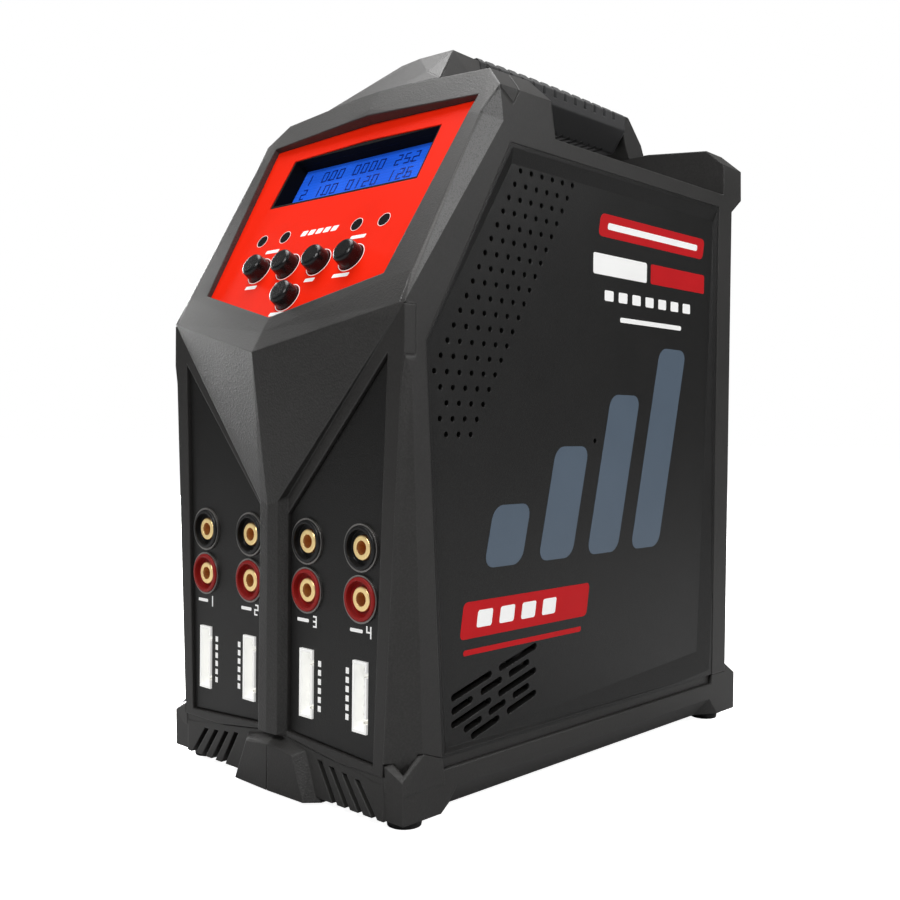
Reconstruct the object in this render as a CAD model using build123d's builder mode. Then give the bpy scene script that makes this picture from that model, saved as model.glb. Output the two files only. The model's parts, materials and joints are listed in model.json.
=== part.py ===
"""Upright four-channel battery charger with a tilted control panel and a top handle.

Lengths are in millimetres.  Drawing coordinates: x across (0 is the middle of the
charger), y backwards from the front face, z up from the underside of the corner
blocks.  at() moves them to the frame of the part, whose origin lies on the table
under the middle of the charger.  Right means +x; a side is given as 1 or -1.
"""
from build123d import *
import math
import os

os.makedirs("parts", exist_ok=True)

# ------------------------------------------------------------ main dimensions
MID_Y = 83.65         # front face to the middle of the depth
FOOT_H = 3.0          # rubber foot below the corner blocks
HALF_W = 54.2         # half width of the body
WALL = 2.4            # moulded wall
INNER_HALF_W = HALF_W - WALL
DECK_Z = 194.5        # deck under the handle
REAR_Y = 170.5        # back of the side posts
BASE_REAR_Y = 177.6   # back of the base
SILL_Z = 11.9         # joint between base and shells
FRAME_BACK_Y = 3.0    # back of the front frame behind the inserts
SIDES = ((1, "right"), (-1, "left"))

PANEL_TIP = (0.0, -2.3, 137.2)   # lowest corner of the control panel
PANEL_TILT = 30.5     # lean of the control panel from vertical, degrees
PANEL_T = 2.5         # control panel thickness
TILT_SIN = math.sin(math.radians(PANEL_TILT))
TILT_COS = math.cos(math.radians(PANEL_TILT))
PANEL_NORMAL = (0, -TILT_COS, TILT_SIN)   # outward
PANEL_AXIS = Axis((0, 0, 0), PANEL_NORMAL)

HANDLE_W = 12.0       # half width of the handle bar
HANDLE_TOP = 231.0


# -------------------------------------------------------------------- helpers
def at(x, y, z):
    """drawing coordinates to the frame of the part"""
    return (x, y - MID_Y, z + FOOT_H)


def front_plane(y):
    """sketch plane facing the viewer, local x = x, local y = z"""
    return Plane(origin=at(0, y, 0), x_dir=(1, 0, 0), z_dir=(0, -1, 0))


def back_plane(y):
    """sketch plane facing backwards, local x = -x, local y = z"""
    return Plane(origin=at(0, y, 0), x_dir=(-1, 0, 0), z_dir=(0, 1, 0))


def side_plane(x):
    """sketch plane facing +X, local x = y, local y = z"""
    return Plane(origin=at(x, 0, 0), x_dir=(0, 1, 0), z_dir=(1, 0, 0))


def level_plane(z):
    """horizontal sketch plane, local x = x, local y = y"""
    return Plane(origin=at(0, 0, z), x_dir=(1, 0, 0), z_dir=(0, 0, 1))


def panel_plane(lift=0.0):
    """plane of the control panel, lifted along its outward normal"""
    x, y, z = PANEL_TIP
    return Plane(origin=at(x, y - lift * TILT_COS, z + lift * TILT_SIN),
                 x_dir=(1, 0, 0), z_dir=PANEL_NORMAL)


def mirrored(points):
    """each point together with its mirror image across the middle plane"""
    return [(side * x, y, z) for x, y, z in points for side in (1, -1)]


def on_side(side, points):
    """right-hand points moved to the given side"""
    return [(side * x, y, z) for x, y, z in points]


def outline(points, grow=0.0):
    """polygon face in local coordinates, its edges moved outwards by grow"""
    with BuildSketch(Plane.XY) as polygon:
        with BuildLine():
            Polyline(*points, close=True)
        make_face()
        if grow:
            offset(amount=grow, kind=Kind.INTERSECTION)
    return polygon.sketch


def drop_straight_corners(ring, normal):
    """remove points that lie on or inside the outline of a face"""
    i = 0
    while i < len(ring) and len(ring) > 3:
        before, here, after = ring[i - 1], ring[i], ring[(i + 1) % len(ring)]
        if (here - before).cross(after - here).dot(normal) <= 1e-3:
            ring.pop(i)
            i = 0
        else:
            i += 1


def hull(points):
    """convex solid spanned by drawing points"""
    corners = []
    for point in points:
        corner = Vector(*at(*point))
        if all((corner - other).length > 1e-4 for other in corners):
            corners.append(corner)
    found, faces = [], []
    count = len(corners)
    for i in range(count):
        for j in range(i + 1, count):
            for k in range(j + 1, count):
                normal = (corners[j] - corners[i]).cross(corners[k] - corners[i])
                if normal.length < 1e-3:
                    continue
                normal = normal.normalized()
                plane_dist = normal.dot(corners[i])
                heights = [normal.dot(corner) - plane_dist for corner in corners]
                if max(heights) > 1e-3:
                    if min(heights) < -1e-3:
                        continue
                    normal = normal * -1
                on_face = frozenset(m for m in range(count) if abs(heights[m]) <= 1e-3)
                if any(on_face <= known for known in found):
                    continue
                found.append(on_face)
                ring = [corners[m] for m in on_face]
                middle = Vector(0, 0, 0)
                for corner in ring:
                    middle = middle + corner * (1.0 / len(ring))
                axis_u = (ring[0] - middle).normalized()
                axis_v = normal.cross(axis_u)
                ring.sort(key=lambda q: math.atan2((q - middle).dot(axis_v),
                                                   (q - middle).dot(axis_u)))
                drop_straight_corners(ring, normal)
                faces.append(Face(Wire.make_polygon(ring, close=True)))
    return Solid(Shell(faces))


def hull_box(xs, ys, zs):
    """box between two values on each axis"""
    return hull([(x, y, z) for x in xs for y in ys for z in zs])


def export(block, name):
    block.part.label = name
    export_step(block.part, "parts/" + name + ".step")


# everything to the left and to the right of the middle plane
half_space = {side: Pos(side * 150, 0, 100) * Box(300, 600, 700) for side in (1, -1)}

# ------------------------------------------------------------- body envelope
# Right-hand corner points (x, y, z); the left side mirrors them.
BROW_CORNER = (HALF_W, 36.0, 205.1)
HEAD_BACK = (HALF_W, 59.8, 205.5)
SHOULDER_FRONT = (46.7, 40.0, 212.2)
SHOULDER_BACK = (45.4, 59.8, 213.4)
BROW_TOP_SIDE = (10, 40.0, 214.9)
FACET_TOP_IN = (52.1, 30.0, 196.0)
FACET_TOP_OUT = (HALF_W, 37.7, 194.9)
FACET_LOW_OUT = (HALF_W, 8.7, 145.1)
FACET_LOW_IN = (52.35, 3.2, 148.9)
CHIN_CORNER = (HALF_W, -1.2, 139.7)
CHIN_Z = CHIN_CORNER[2]
HOOD_BACK_Y = 62.1
# points on the middle plane
RIDGE_LOW = (0, -6.8, 133.9)
RIDGE_MID = (0, 30.4, 199.8)
RIDGE_TOP = (0, 35.0, 207.9)
BROW_TOP_MID = (0, 39.8, 215.1)

# tilted hood up to the brow
hood_low = hull(mirrored([
    FACET_TOP_IN, FACET_TOP_OUT, FACET_LOW_OUT, FACET_LOW_IN, CHIN_CORNER,
    (HALF_W, HOOD_BACK_Y, DECK_Z), (HALF_W, HOOD_BACK_Y, CHIN_Z)]) + [RIDGE_LOW, RIDGE_MID])
# brow and shoulders
hood_top = hull(mirrored([
    BROW_CORNER, HEAD_BACK, SHOULDER_FRONT, SHOULDER_BACK, FACET_TOP_IN, FACET_TOP_OUT,
    (HALF_W, HOOD_BACK_Y, DECK_Z), BROW_TOP_SIDE, (10, 59.8, 215.2)])
    + [RIDGE_MID, RIDGE_TOP, BROW_TOP_MID])
# main body behind and below the hood
body_hull = hull(mirrored([
    (HALF_W, -1.0, SILL_Z), CHIN_CORNER, (HALF_W, 30.0, DECK_Z),
    (HALF_W, REAR_Y, DECK_Z), (HALF_W, REAR_Y, SILL_Z)]))
# upper rear block that carries the back end of the handle
rear_hull = hull(mirrored([
    (HALF_W, 164.2, 190), (HALF_W, 164.2, 205.6), (HALF_W, 177.1, 205.2),
    (HALF_W, 177.5, 194.3), (HALF_W, 170.4, 188.9), (HALF_W, 164.2, 188.9),
    (46.7, 164.2, 212.0), (46.7, 175.6, 211.8),
    (21, 164.2, 214.8), (21, 174.4, 214.8)]))

# hollow insides; the body cavity runs out through the bottom and the back
CAVITY_LOW_Z = SILL_Z - 10
CAVITY_BACK_Y = 190
inner_body = hull(mirrored([
    (INNER_HALF_W, FRAME_BACK_Y, CAVITY_LOW_Z), (INNER_HALF_W, FRAME_BACK_Y, 139.0),
    (INNER_HALF_W, 33.6, DECK_Z - WALL), (INNER_HALF_W, CAVITY_BACK_Y, DECK_Z - WALL),
    (INNER_HALF_W, CAVITY_BACK_Y, CAVITY_LOW_Z)]))
inner_head = hull(mirrored([
    (INNER_HALF_W, 6.0, 141.0), (INNER_HALF_W, 41.0, 203.6), (INNER_HALF_W, 57.6, 203.6),
    (44.6, 44.0, 209.6), (44.6, 57.6, 210.4), (8, 45.4, 212.2),
    (8, 57.6, 212.4), (INNER_HALF_W, 57.6, 141.0)]))
inner_rear = hull(mirrored([
    (INNER_HALF_W, 166.6, 185), (INNER_HALF_W, 166.6, 204.2), (INNER_HALF_W, 174.6, 204.2),
    (INNER_HALF_W, 174.6, 196.0), (INNER_HALF_W, 168.4, 191.0), (INNER_HALF_W, 168.4, 185),
    (45.4, 166.6, 209.4), (45.4, 173.4, 209.4),
    (20, 166.6, 212.2), (20, 172.0, 212.2)]))

# ------------------------------------------------ regions of the front frame
# Slab behind the tilted panel, cut out of the hood; (x, up) in the panel plane.
SLAB_DEPTH = 6.0
SLAB_START = 20       # start of the cutting region in front of the panel
slab_outline = outline([
    (-52.4, 2.6), (-52.1, 68.3), (-54.6, 79.5), (-54.6, 100), (54.6, 100), (54.6, 79.5),
    (52.1, 68.3), (52.4, 2.6), (54.6, 2.6), (54.6, -30), (-54.6, -30), (-54.6, 2.6)])
with BuildPart() as slab_region:
    with BuildSketch(panel_plane(SLAB_START)):
        add(slab_outline)
    extrude(amount=-(SLAB_START + SLAB_DEPTH))

# Face region below the chin corners; (x, z).
FACE_START = 30       # start of the cutting region in front of the face
face_outline = outline([
    (0, 15.5), (43.7, 10.0), (46.8, 10.0), (47.1, 15.3), (53.0, 120.0), (54.4, 127.0),
    (54.4, 139.0), (-54.4, 139.0), (-54.4, 127.0), (-53.0, 120.0), (-47.1, 15.3),
    (-46.8, 10.0), (-43.7, 10.0)])
with BuildPart() as face_region:
    with BuildSketch(front_plane(-FACE_START)):
        add(face_outline)
    extrude(amount=-(FACE_START + FRAME_BACK_Y))

# chin: two large facets meeting in a centre ridge that runs down into a post
chin_hull = hull(mirrored([
    CHIN_CORNER, (HALF_W, 2.9, CHIN_Z), (4.0, -3.8, 84.0), (4.0, 2.9, 84.0),
    (52.2, -1.0, 137.4)])
    + [RIDGE_LOW, (0, -10.3, 127.8), (0, -4.2, 83.0), (0, 2.9, 80.0)])
post_hull = hull(mirrored([
    (4.0, -3.8, 90.0), (4.4, -3.8, 15.4), (5.9, -1.0, 15.4), (5.9, -1.0, 86.0),
    (5.9, 2.9, 15.4), (5.9, 2.9, 86.0)]) + [(0, -4.2, 90.0), (0, -4.2, 15.4)])
# hollow behind chin and post
chin_hollow = hull(mirrored([
    (40, 0.9, 136.6), (40, 4, 136.6), (3.0, 0.9, 92), (3.0, 4, 92)])
    + [(0, -6.8, 127.6), (0, -3.6, 131.4)])

# wedge nose that leads from the brow up to the top of the handle
NOSE_TOP = (HANDLE_W, 61.0, HANDLE_TOP)
NOSE_SIDE = (16.0, 45.0, 219.1)
NOSE_FOOT = (26.0, 40.4, 214.0)
nose_hull = hull(mirrored([
    BROW_TOP_SIDE, NOSE_FOOT, NOSE_SIDE, NOSE_TOP, (12, 61.0, 214.0), (26, 41.0, 212.0)])
    + [(0, 39.9, 215.1), (0, 57.6, 229.9), (0, 61.0, 231.3)])

# cheek on each side of the nose, a slab under its sloping face; it belongs to the handle
CHEEK_NORMAL = (0.42, -0.49, 0.76)
CHEEK_DEPTHS = (-0.6, 1.6)
cheek = {
    side: hull([(side * (x - depth * CHEEK_NORMAL[0]), y - depth * CHEEK_NORMAL[1],
                 z - depth * CHEEK_NORMAL[2])
                for x, y, z in (NOSE_TOP, NOSE_SIDE, NOSE_FOOT, (12.0, 62.0, 220.0))
                for depth in CHEEK_DEPTHS])
    for side in (1, -1)}
with BuildPart() as nose_block:
    add(nose_hull)
    for side in (1, -1):
        add(cheek[side], mode=Mode.SUBTRACT)
with BuildPart() as nose_cheeks:
    add(nose_hull)
    with BuildPart(mode=Mode.PRIVATE) as both_cheeks:
        add(cheek[1])
        add(cheek[-1])
    add(both_cheeks.part, mode=Mode.INTERSECT)

# ---------------------------------------------------------------- front frame
FIT_GAP = 0.12        # clearance around a fitted plate
# right-hand opening for a front insert, (x, z)
INSERT_OPENING = [(5.9, 16.2), (43.2, 14.0), (47.8, 126.5), (5.9, 80.8)]
# control panel outline in its own plane, (x, up)
PANEL_OUTLINE = [(-47.6, 75.4), (0, 77.4), (47.6, 75.4), (41.9, 12.2), (0, 0), (-41.9, 12.2)]
PANEL_LEDGE = 2.2     # width of the ledge behind the control panel


def insert_outline(side, grow=0.0):
    return outline([(side * x, z) for x, z in INSERT_OPENING], grow)


insert_open = {side: insert_outline(side) for side in (1, -1)}
panel_opening = outline(PANEL_OUTLINE)
panel_ledge_opening = outline(PANEL_OUTLINE, -PANEL_LEDGE)

with BuildPart() as hood_frame:
    add(hood_low)
    add(hood_top)
    add(slab_region.part, mode=Mode.INTERSECT)
    # opening for the control panel with a ledge behind it
    with BuildSketch(panel_plane(12)):
        add(panel_opening)
    extrude(amount=-(12 + PANEL_T), mode=Mode.SUBTRACT)
    with BuildSketch(panel_plane(0)):
        add(panel_ledge_opening)
    extrude(amount=-12, mode=Mode.SUBTRACT)
    add(nose_block.part)
with BuildPart() as face_slab:
    add(body_hull)
    add(face_region.part, mode=Mode.INTERSECT)
    add(chin_hull)
    add(post_hull)
    for side in (1, -1):
        with BuildSketch(front_plane(-20)):
            add(insert_open[side])
        extrude(amount=-40, mode=Mode.SUBTRACT)
    add(chin_hollow, mode=Mode.SUBTRACT)
with BuildPart() as front_frame:
    add(hood_frame.part)
    add(face_slab.part)
    # the panel opening also clears the top of the chin
    with BuildSketch(panel_plane(6)):
        add(panel_opening)
    extrude(amount=-(6 + PANEL_T), mode=Mode.SUBTRACT)
    with BuildSketch(panel_plane(0)):
        add(panel_ledge_opening)
    extrude(amount=-16, mode=Mode.SUBTRACT)
export(front_frame, "front_frame")

# -------------------------------------------------------------- front inserts
SOCKET_X = (13.8, 37.0)
SOCKET_Z_TOP = 73.1
SOCKET_Z_LOW = 58.9
SOCKET_Z = (SOCKET_Z_TOP, SOCKET_Z_LOW)
PORT_W, PORT_H = 5.75, 19.9
PORT_Z = 31.8
PORT_GAP = 0.3
INSERT_CUT_Y = -2     # the insert openings are cut from here backwards
INSERT_CUT_DEPTH = 10


def build_insert(side):
    """face plate with a rear flange, socket holes and port windows"""
    face_sketch = insert_outline(side, -FIT_GAP)
    flange_sketch = insert_outline(side, 1.0)
    with BuildPart() as insert:
        with BuildSketch(front_plane(0)):
            add(face_sketch)
        extrude(amount=-FRAME_BACK_Y)
        with BuildSketch(front_plane(FRAME_BACK_Y)):
            add(flange_sketch)
        extrude(amount=-1.4)
        front_edges = insert.faces().filter_by(Axis.Y).sort_by(Axis.Y)[0].edges()
        chamfer(front_edges, 0.35)
        for x in SOCKET_X:
            for z in SOCKET_Z:
                with BuildSketch(front_plane(INSERT_CUT_Y)):
                    with Locations((side * x, z)):
                        Circle(5.4)
                extrude(amount=-INSERT_CUT_DEPTH, mode=Mode.SUBTRACT)
            with BuildSketch(front_plane(INSERT_CUT_Y)):
                with Locations((side * x, PORT_Z)):
                    Rectangle(PORT_W + PORT_GAP, PORT_H + PORT_GAP)
            extrude(amount=-INSERT_CUT_DEPTH, mode=Mode.SUBTRACT)
    return insert


for side, side_name in SIDES:
    export(build_insert(side), "insert_" + side_name)

# -------------------------------------------------------------- control panel
# places in the panel plane, (x, up)
LCD_WINDOW = [(-34.6, 68.8), (0, 70.2), (34.6, 68.8), (34.8, 48.1), (-34.8, 48.1)]
LED_SPOTS = [(-28.8, 33.9), (-17.0, 33.9), (17.0, 33.9), (28.8, 33.9)]
BUTTON_SPOTS = [(-21.6, 21.1), (-7.3, 21.1), (7.4, 21.1), (22.0, 21.1), (0.6, 8.7)]
BUTTON_D = 8.6
panel_fit = outline(PANEL_OUTLINE, -FIT_GAP)

with BuildPart() as control_panel:
    with BuildSketch(panel_plane(0)):
        add(panel_fit)
        with BuildLine():
            Polyline(*LCD_WINDOW, close=True)
        make_face(mode=Mode.SUBTRACT)
        with Locations(*LED_SPOTS):
            Circle(1.9, mode=Mode.SUBTRACT)
        with Locations(*BUTTON_SPOTS):
            Circle(BUTTON_D / 2 + 0.3, mode=Mode.SUBTRACT)
    extrude(amount=-PANEL_T)
export(control_panel, "control_panel")

# ----------------------------------------------------------------- LCD module
# depths along the panel normal, 0 at the panel surface
BEZEL_TOP = -0.25
BEZEL_FLANGE_TOP = -2.6
LCD_FACE = -5.8       # front of the glass
LCD_GLASS_T = 3.2
LCD_BOARD_TOP = LCD_FACE - LCD_GLASS_T
LCD_BOARD_T = 1.6
BEZEL_CENTRE = (0, 59.3)
BEZEL_SIZE = (74.0, 25.6)
LCD_VIEW_SIZE = (67.6, 19.4)
bezel_rim = outline(LCD_WINDOW, -0.1)

with BuildPart() as lcd_bezel:
    # rim that fills the panel window
    with BuildSketch(panel_plane(BEZEL_TOP)):
        add(bezel_rim)
        with Locations((0, 58.9)):
            Rectangle(*LCD_VIEW_SIZE, mode=Mode.SUBTRACT)
    extrude(amount=-2.55)
    # flange in front of the glass
    with BuildSketch(panel_plane(BEZEL_FLANGE_TOP)):
        with Locations(BEZEL_CENTRE):
            Rectangle(*BEZEL_SIZE)
            Rectangle(*LCD_VIEW_SIZE, mode=Mode.SUBTRACT)
    extrude(amount=-3.2)
    # frame around the glass
    with BuildSketch(panel_plane(LCD_FACE)):
        with Locations(BEZEL_CENTRE):
            Rectangle(*BEZEL_SIZE)
            Rectangle(71.2, 21.4, mode=Mode.SUBTRACT)
    extrude(amount=-LCD_GLASS_T)
export(lcd_bezel, "lcd_bezel")

with BuildPart() as lcd_glass:
    with BuildSketch(panel_plane(LCD_FACE)):
        with Locations(BEZEL_CENTRE):
            Rectangle(71.0, 21.2)
    extrude(amount=-LCD_GLASS_T)
export(lcd_glass, "lcd_glass")

with BuildPart() as lcd_board:
    with BuildSketch(panel_plane(LCD_BOARD_TOP)):
        with Locations((0, 58.6)):
            Rectangle(80.0, 27.0)
        with Locations((-37.6, 70.0), (37.6, 70.0), (-37.6, 47.2), (37.6, 47.2)):
            Circle(1.3, mode=Mode.SUBTRACT)
    extrude(amount=-LCD_BOARD_T)
    # strip along the top edge of the board's back
    with BuildSketch(panel_plane(LCD_BOARD_TOP - LCD_BOARD_T)):
        with Locations((0, 69.5)):
            Rectangle(42.0, 2.5)
    extrude(amount=-2.4)
export(lcd_board, "lcd_board")

# -------------------------------------------------------------------- buttons
BUTTON_RISE = 4.3     # cap above the panel surface
BUTTON_SHANK = 2.65   # cap below it
BUTTON_FLANGE_T = 1.2
BUTTON_STEM = 4.65


def build_button(spot):
    with BuildPart() as button:
        with BuildSketch(panel_plane(0)):
            with Locations(spot):
                Circle(BUTTON_D / 2)
        extrude(amount=BUTTON_RISE, taper=6)
        top = button.faces().sort_by(PANEL_AXIS)[-1]
        fillet(top.edges(), 1.1)
        with BuildSketch(panel_plane(0)):
            with Locations(spot):
                Circle(BUTTON_D / 2)
        extrude(amount=-BUTTON_SHANK)
        with BuildSketch(panel_plane(-BUTTON_SHANK)):
            with Locations(spot):
                Circle(5.6)
        extrude(amount=-BUTTON_FLANGE_T)
        with BuildSketch(panel_plane(-BUTTON_SHANK - BUTTON_FLANGE_T)):
            with Locations(spot):
                Circle(1.9)
        extrude(amount=-BUTTON_STEM)
    return button


for i, spot in enumerate(BUTTON_SPOTS):
    export(build_button(spot), "button_%d" % (i + 1))

# ------------------------------------------- control board, switches and LEDs
BOARD_TOP = -13.1     # front of the control board along the panel normal
BOARD_T = 1.6
SWITCH_H = 3.0
control_board_outline = outline([
    (-38, 14.0), (-38, 44.6), (38, 44.6), (38, 14.0), (10, 3.6), (-10, 3.6)])

with BuildPart() as control_board:
    with BuildSketch(panel_plane(BOARD_TOP)):
        add(control_board_outline)
        with Locations((-35, 41.4), (35, 41.4), (-35, 17.0), (35, 17.0)):
            Circle(1.4, mode=Mode.SUBTRACT)
    extrude(amount=-BOARD_T)
    # flat blocks on the back of the board
    with BuildSketch(panel_plane(BOARD_TOP - BOARD_T)):
        with Locations((0, 31)):
            Rectangle(14, 14)
        with Locations((-24, 30), (24, 30)):
            Rectangle(8, 5)
    extrude(amount=-1.4)
export(control_board, "control_board")

with BuildPart() as tact_switches:
    with BuildSketch(panel_plane(BOARD_TOP)):
        with Locations(*BUTTON_SPOTS):
            RectangleRounded(6.2, 6.2, 0.5)
    extrude(amount=SWITCH_H)
    with BuildSketch(panel_plane(BOARD_TOP + SWITCH_H)):
        with Locations(*BUTTON_SPOTS):
            Circle(1.7)
    extrude(amount=0.6)
export(tact_switches, "tact_switches")

with BuildPart() as leds:
    with BuildSketch(panel_plane(BOARD_TOP)):
        with Locations(*LED_SPOTS):
            Circle(1.5)
    extrude(amount=8.6)
    panel_parallel = Plane(origin=(0, 0, 0), x_dir=(1, 0, 0), z_dir=PANEL_NORMAL)
    led_tops = leds.faces().filter_by(panel_parallel).sort_by(PANEL_AXIS)[-4:]
    fillet(led_tops.edges(), 1.1)
export(leds, "leds")

# --------------------------------------------------- output sockets and ports
CHANNEL_X = (-SOCKET_X[1], -SOCKET_X[0], SOCKET_X[0], SOCKET_X[1])
SOCKET_SPOTS = [(x, z) for x in CHANNEL_X for z in SOCKET_Z]
SOCKET_BORE_R = 2.0   # 4 mm plug socket
COLLAR_Y = -1.3       # front of the insulator collar
CONTACT_Y = -0.3      # front of the metal contact
CONTACT_BACK_Y = 15.0
OUTPUT_BOARD_Y = 18.0
PIN_PITCH = 2.5
PIN_COUNT = 7


def pin_spots(x):
    """column of pins in one balance port, (x, z)"""
    return [(x, PORT_Z + (k - 3) * PIN_PITCH) for k in range(PIN_COUNT)]


ALL_PIN_SPOTS = [spot for x in CHANNEL_X for spot in pin_spots(x)]


def build_insulator(spot):
    """collared sleeve around one socket"""
    with BuildPart() as insulator:
        with BuildSketch(front_plane(COLLAR_Y)):
            with Locations(spot):
                Circle(6.2)
        extrude(amount=COLLAR_Y)
        fillet(insulator.faces().sort_by(Axis.Y)[0].edges(), 0.5)
        with BuildSketch(front_plane(0)):
            with Locations(spot):
                Circle(5.3)
        extrude(amount=-12.0)
        with BuildSketch(front_plane(-2)):
            with Locations(spot):
                Circle(5.1)
        extrude(amount=-2.7, mode=Mode.SUBTRACT)
        with BuildSketch(front_plane(-2)):
            with Locations(spot):
                Circle(3.55)
        extrude(amount=-16, mode=Mode.SUBTRACT)
    return insulator


def build_contacts(x):
    """upper and lower metal sleeve of one channel, each with a rear pin"""
    with BuildPart() as contacts:
        for z in SOCKET_Z:
            with BuildSketch(front_plane(CONTACT_Y)):
                with Locations((x, z)):
                    Circle(3.5)
            extrude(amount=CONTACT_Y - CONTACT_BACK_Y)
        fillet(contacts.edges().filter_by(GeomType.CIRCLE).sort_by(Axis.Y)[:2], 0.4)
        for z in SOCKET_Z:
            with BuildSketch(front_plane(-1)):
                with Locations((x, z)):
                    Circle(SOCKET_BORE_R)
            extrude(amount=-14.7, mode=Mode.SUBTRACT)
            with BuildSketch(front_plane(CONTACT_BACK_Y)):
                with Locations((x, z)):
                    Circle(1.5)
            extrude(amount=-6.0)
    return contacts


def build_port(x):
    """balance port housing, open in front, with two notches in its right wall"""
    notch_x = x + PORT_W / 2 - 0.4
    with BuildPart() as port:
        with BuildSketch(front_plane(-0.6)):
            with Locations((x, PORT_Z)):
                Rectangle(PORT_W, PORT_H)
        extrude(amount=-9.8)
        with BuildSketch(front_plane(-1.6)):
            with Locations((x, PORT_Z)):
                Rectangle(PORT_W - 1.5, PORT_H - 1.6)
        extrude(amount=-8.0, mode=Mode.SUBTRACT)
        with BuildSketch(front_plane(-1.6)):
            with Locations((notch_x, PORT_Z + 6.4), (notch_x, PORT_Z - 6.4)):
                Rectangle(1.6, 1.5)
        extrude(amount=-6.0, mode=Mode.SUBTRACT)
        with BuildSketch(front_plane(0)):
            with Locations(*pin_spots(x)):
                Rectangle(0.7, 0.7)
        extrude(amount=-20, mode=Mode.SUBTRACT)
    return port


for i, x in enumerate(CHANNEL_X):
    for colour, z in (("black", SOCKET_Z_TOP), ("red", SOCKET_Z_LOW)):
        export(build_insulator((x, z)), "insulator_%s_%d" % (colour, i + 1))
    export(build_contacts(x), "contacts_%d" % (i + 1))
    export(build_port(x), "balance_port_%d" % (i + 1))

with BuildPart() as balance_pins:
    with BuildSketch(front_plane(1.4)):
        with Locations(*ALL_PIN_SPOTS):
            Rectangle(0.64, 0.64)
    extrude(amount=-19.4)
export(balance_pins, "balance_pins")

with BuildPart() as socket_rings:
    with BuildSketch(front_plane(-0.7)):
        with Locations(*SOCKET_SPOTS):
            Circle(6.75)
            Circle(6.25, mode=Mode.SUBTRACT)
    extrude(amount=-0.7)
export(socket_rings, "socket_rings")

with BuildPart() as output_board:
    with BuildSketch(front_plane(OUTPUT_BOARD_Y)):
        with Locations((0, 50.0)):
            Rectangle(88, 68)
        with Locations(*SOCKET_SPOTS):
            Circle(1.6, mode=Mode.SUBTRACT)
        with Locations(*ALL_PIN_SPOTS):
            Rectangle(0.8, 0.8, mode=Mode.SUBTRACT)
        with Locations((-41, 81), (41, 81), (-41, 19), (41, 19)):
            Circle(1.6, mode=Mode.SUBTRACT)
    extrude(amount=-BOARD_T)
    # driver chips on the back of the board
    with BuildSketch(front_plane(OUTPUT_BOARD_Y + BOARD_T)):
        with Locations((-25.4, 66), (0, 66), (25.4, 66)):
            Rectangle(9, 7)
    extrude(amount=-1.8)
export(output_board, "output_board")

# --------------------------------------------------------------------- handle
# handle foot, bar and rear leg as one core
BAR_SIZE = (16, 9, 2)     # width, height, corner radius of the bar inside the grip
BAR_CENTRE = (0, 223.6)   # (x, z)
handle_foot = hull(mirrored([
    NOSE_TOP, (12, 74.0, 230.6), (12, 49.4, 221.2), (25.6, 41.4, 213.4),
    (25.6, 61.5, 213.4), (12, 74.0, 224.0), (12, 66.0, 213.4)]))
# rear leg profile, (y, z)
rear_leg_outline = outline([
    (160.0, 230.8), (163.2, 230.8), (172.6, 221.6), (176.6, 214.0), (164.2, 210.0),
    (164.2, 214.6), (161.0, 220.6), (160.0, 224.4)])

with BuildPart() as handle_core:
    add(handle_foot)
    with BuildSketch(side_plane(-HANDLE_W)):
        add(rear_leg_outline)
    extrude(amount=2 * HANDLE_W)
    # the two upper edges of the rear leg; the topmost edge is on the foot
    chamfer(handle_core.edges().filter_by(Axis.X).sort_by(Axis.Z)[-3:-1], 0.5)
    with BuildSketch(front_plane(66)):
        with Locations(BAR_CENTRE):
            RectangleRounded(*BAR_SIZE)
    extrude(amount=-98)
    add(nose_cheeks.part)
    add(hood_top, mode=Mode.SUBTRACT)
    add(nose_block.part, mode=Mode.SUBTRACT)
    add(rear_hull, mode=Mode.SUBTRACT)
export(handle_core, "handle_core")

GRIP_Y0, GRIP_Y1 = 74.0, 160.0
GROOVE_COUNT, GROOVE_PITCH = 13, 6.2
FINGER_COUNT, FINGER_PITCH = 18, 4.2
GRIP_CUT_X = 20       # half width of the cuts across the grip
# grip cross-section, (x, z)
GRIP_SECTION = [(-9.8, 233.0), (9.8, 233.0), (12.4, 230.4), (12.8, 224.6), (7.0, 216.6),
                (-7.0, 216.6), (-12.8, 224.6), (-12.4, 230.4)]
# space above the gently arched top, (y, z)
above_grip = outline([
    (73, 231.9), (86, 232.5), (104, 232.9), (122, 232.7), (140, 232.1), (161, 231.0),
    (161, 236), (73, 236)])

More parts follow.
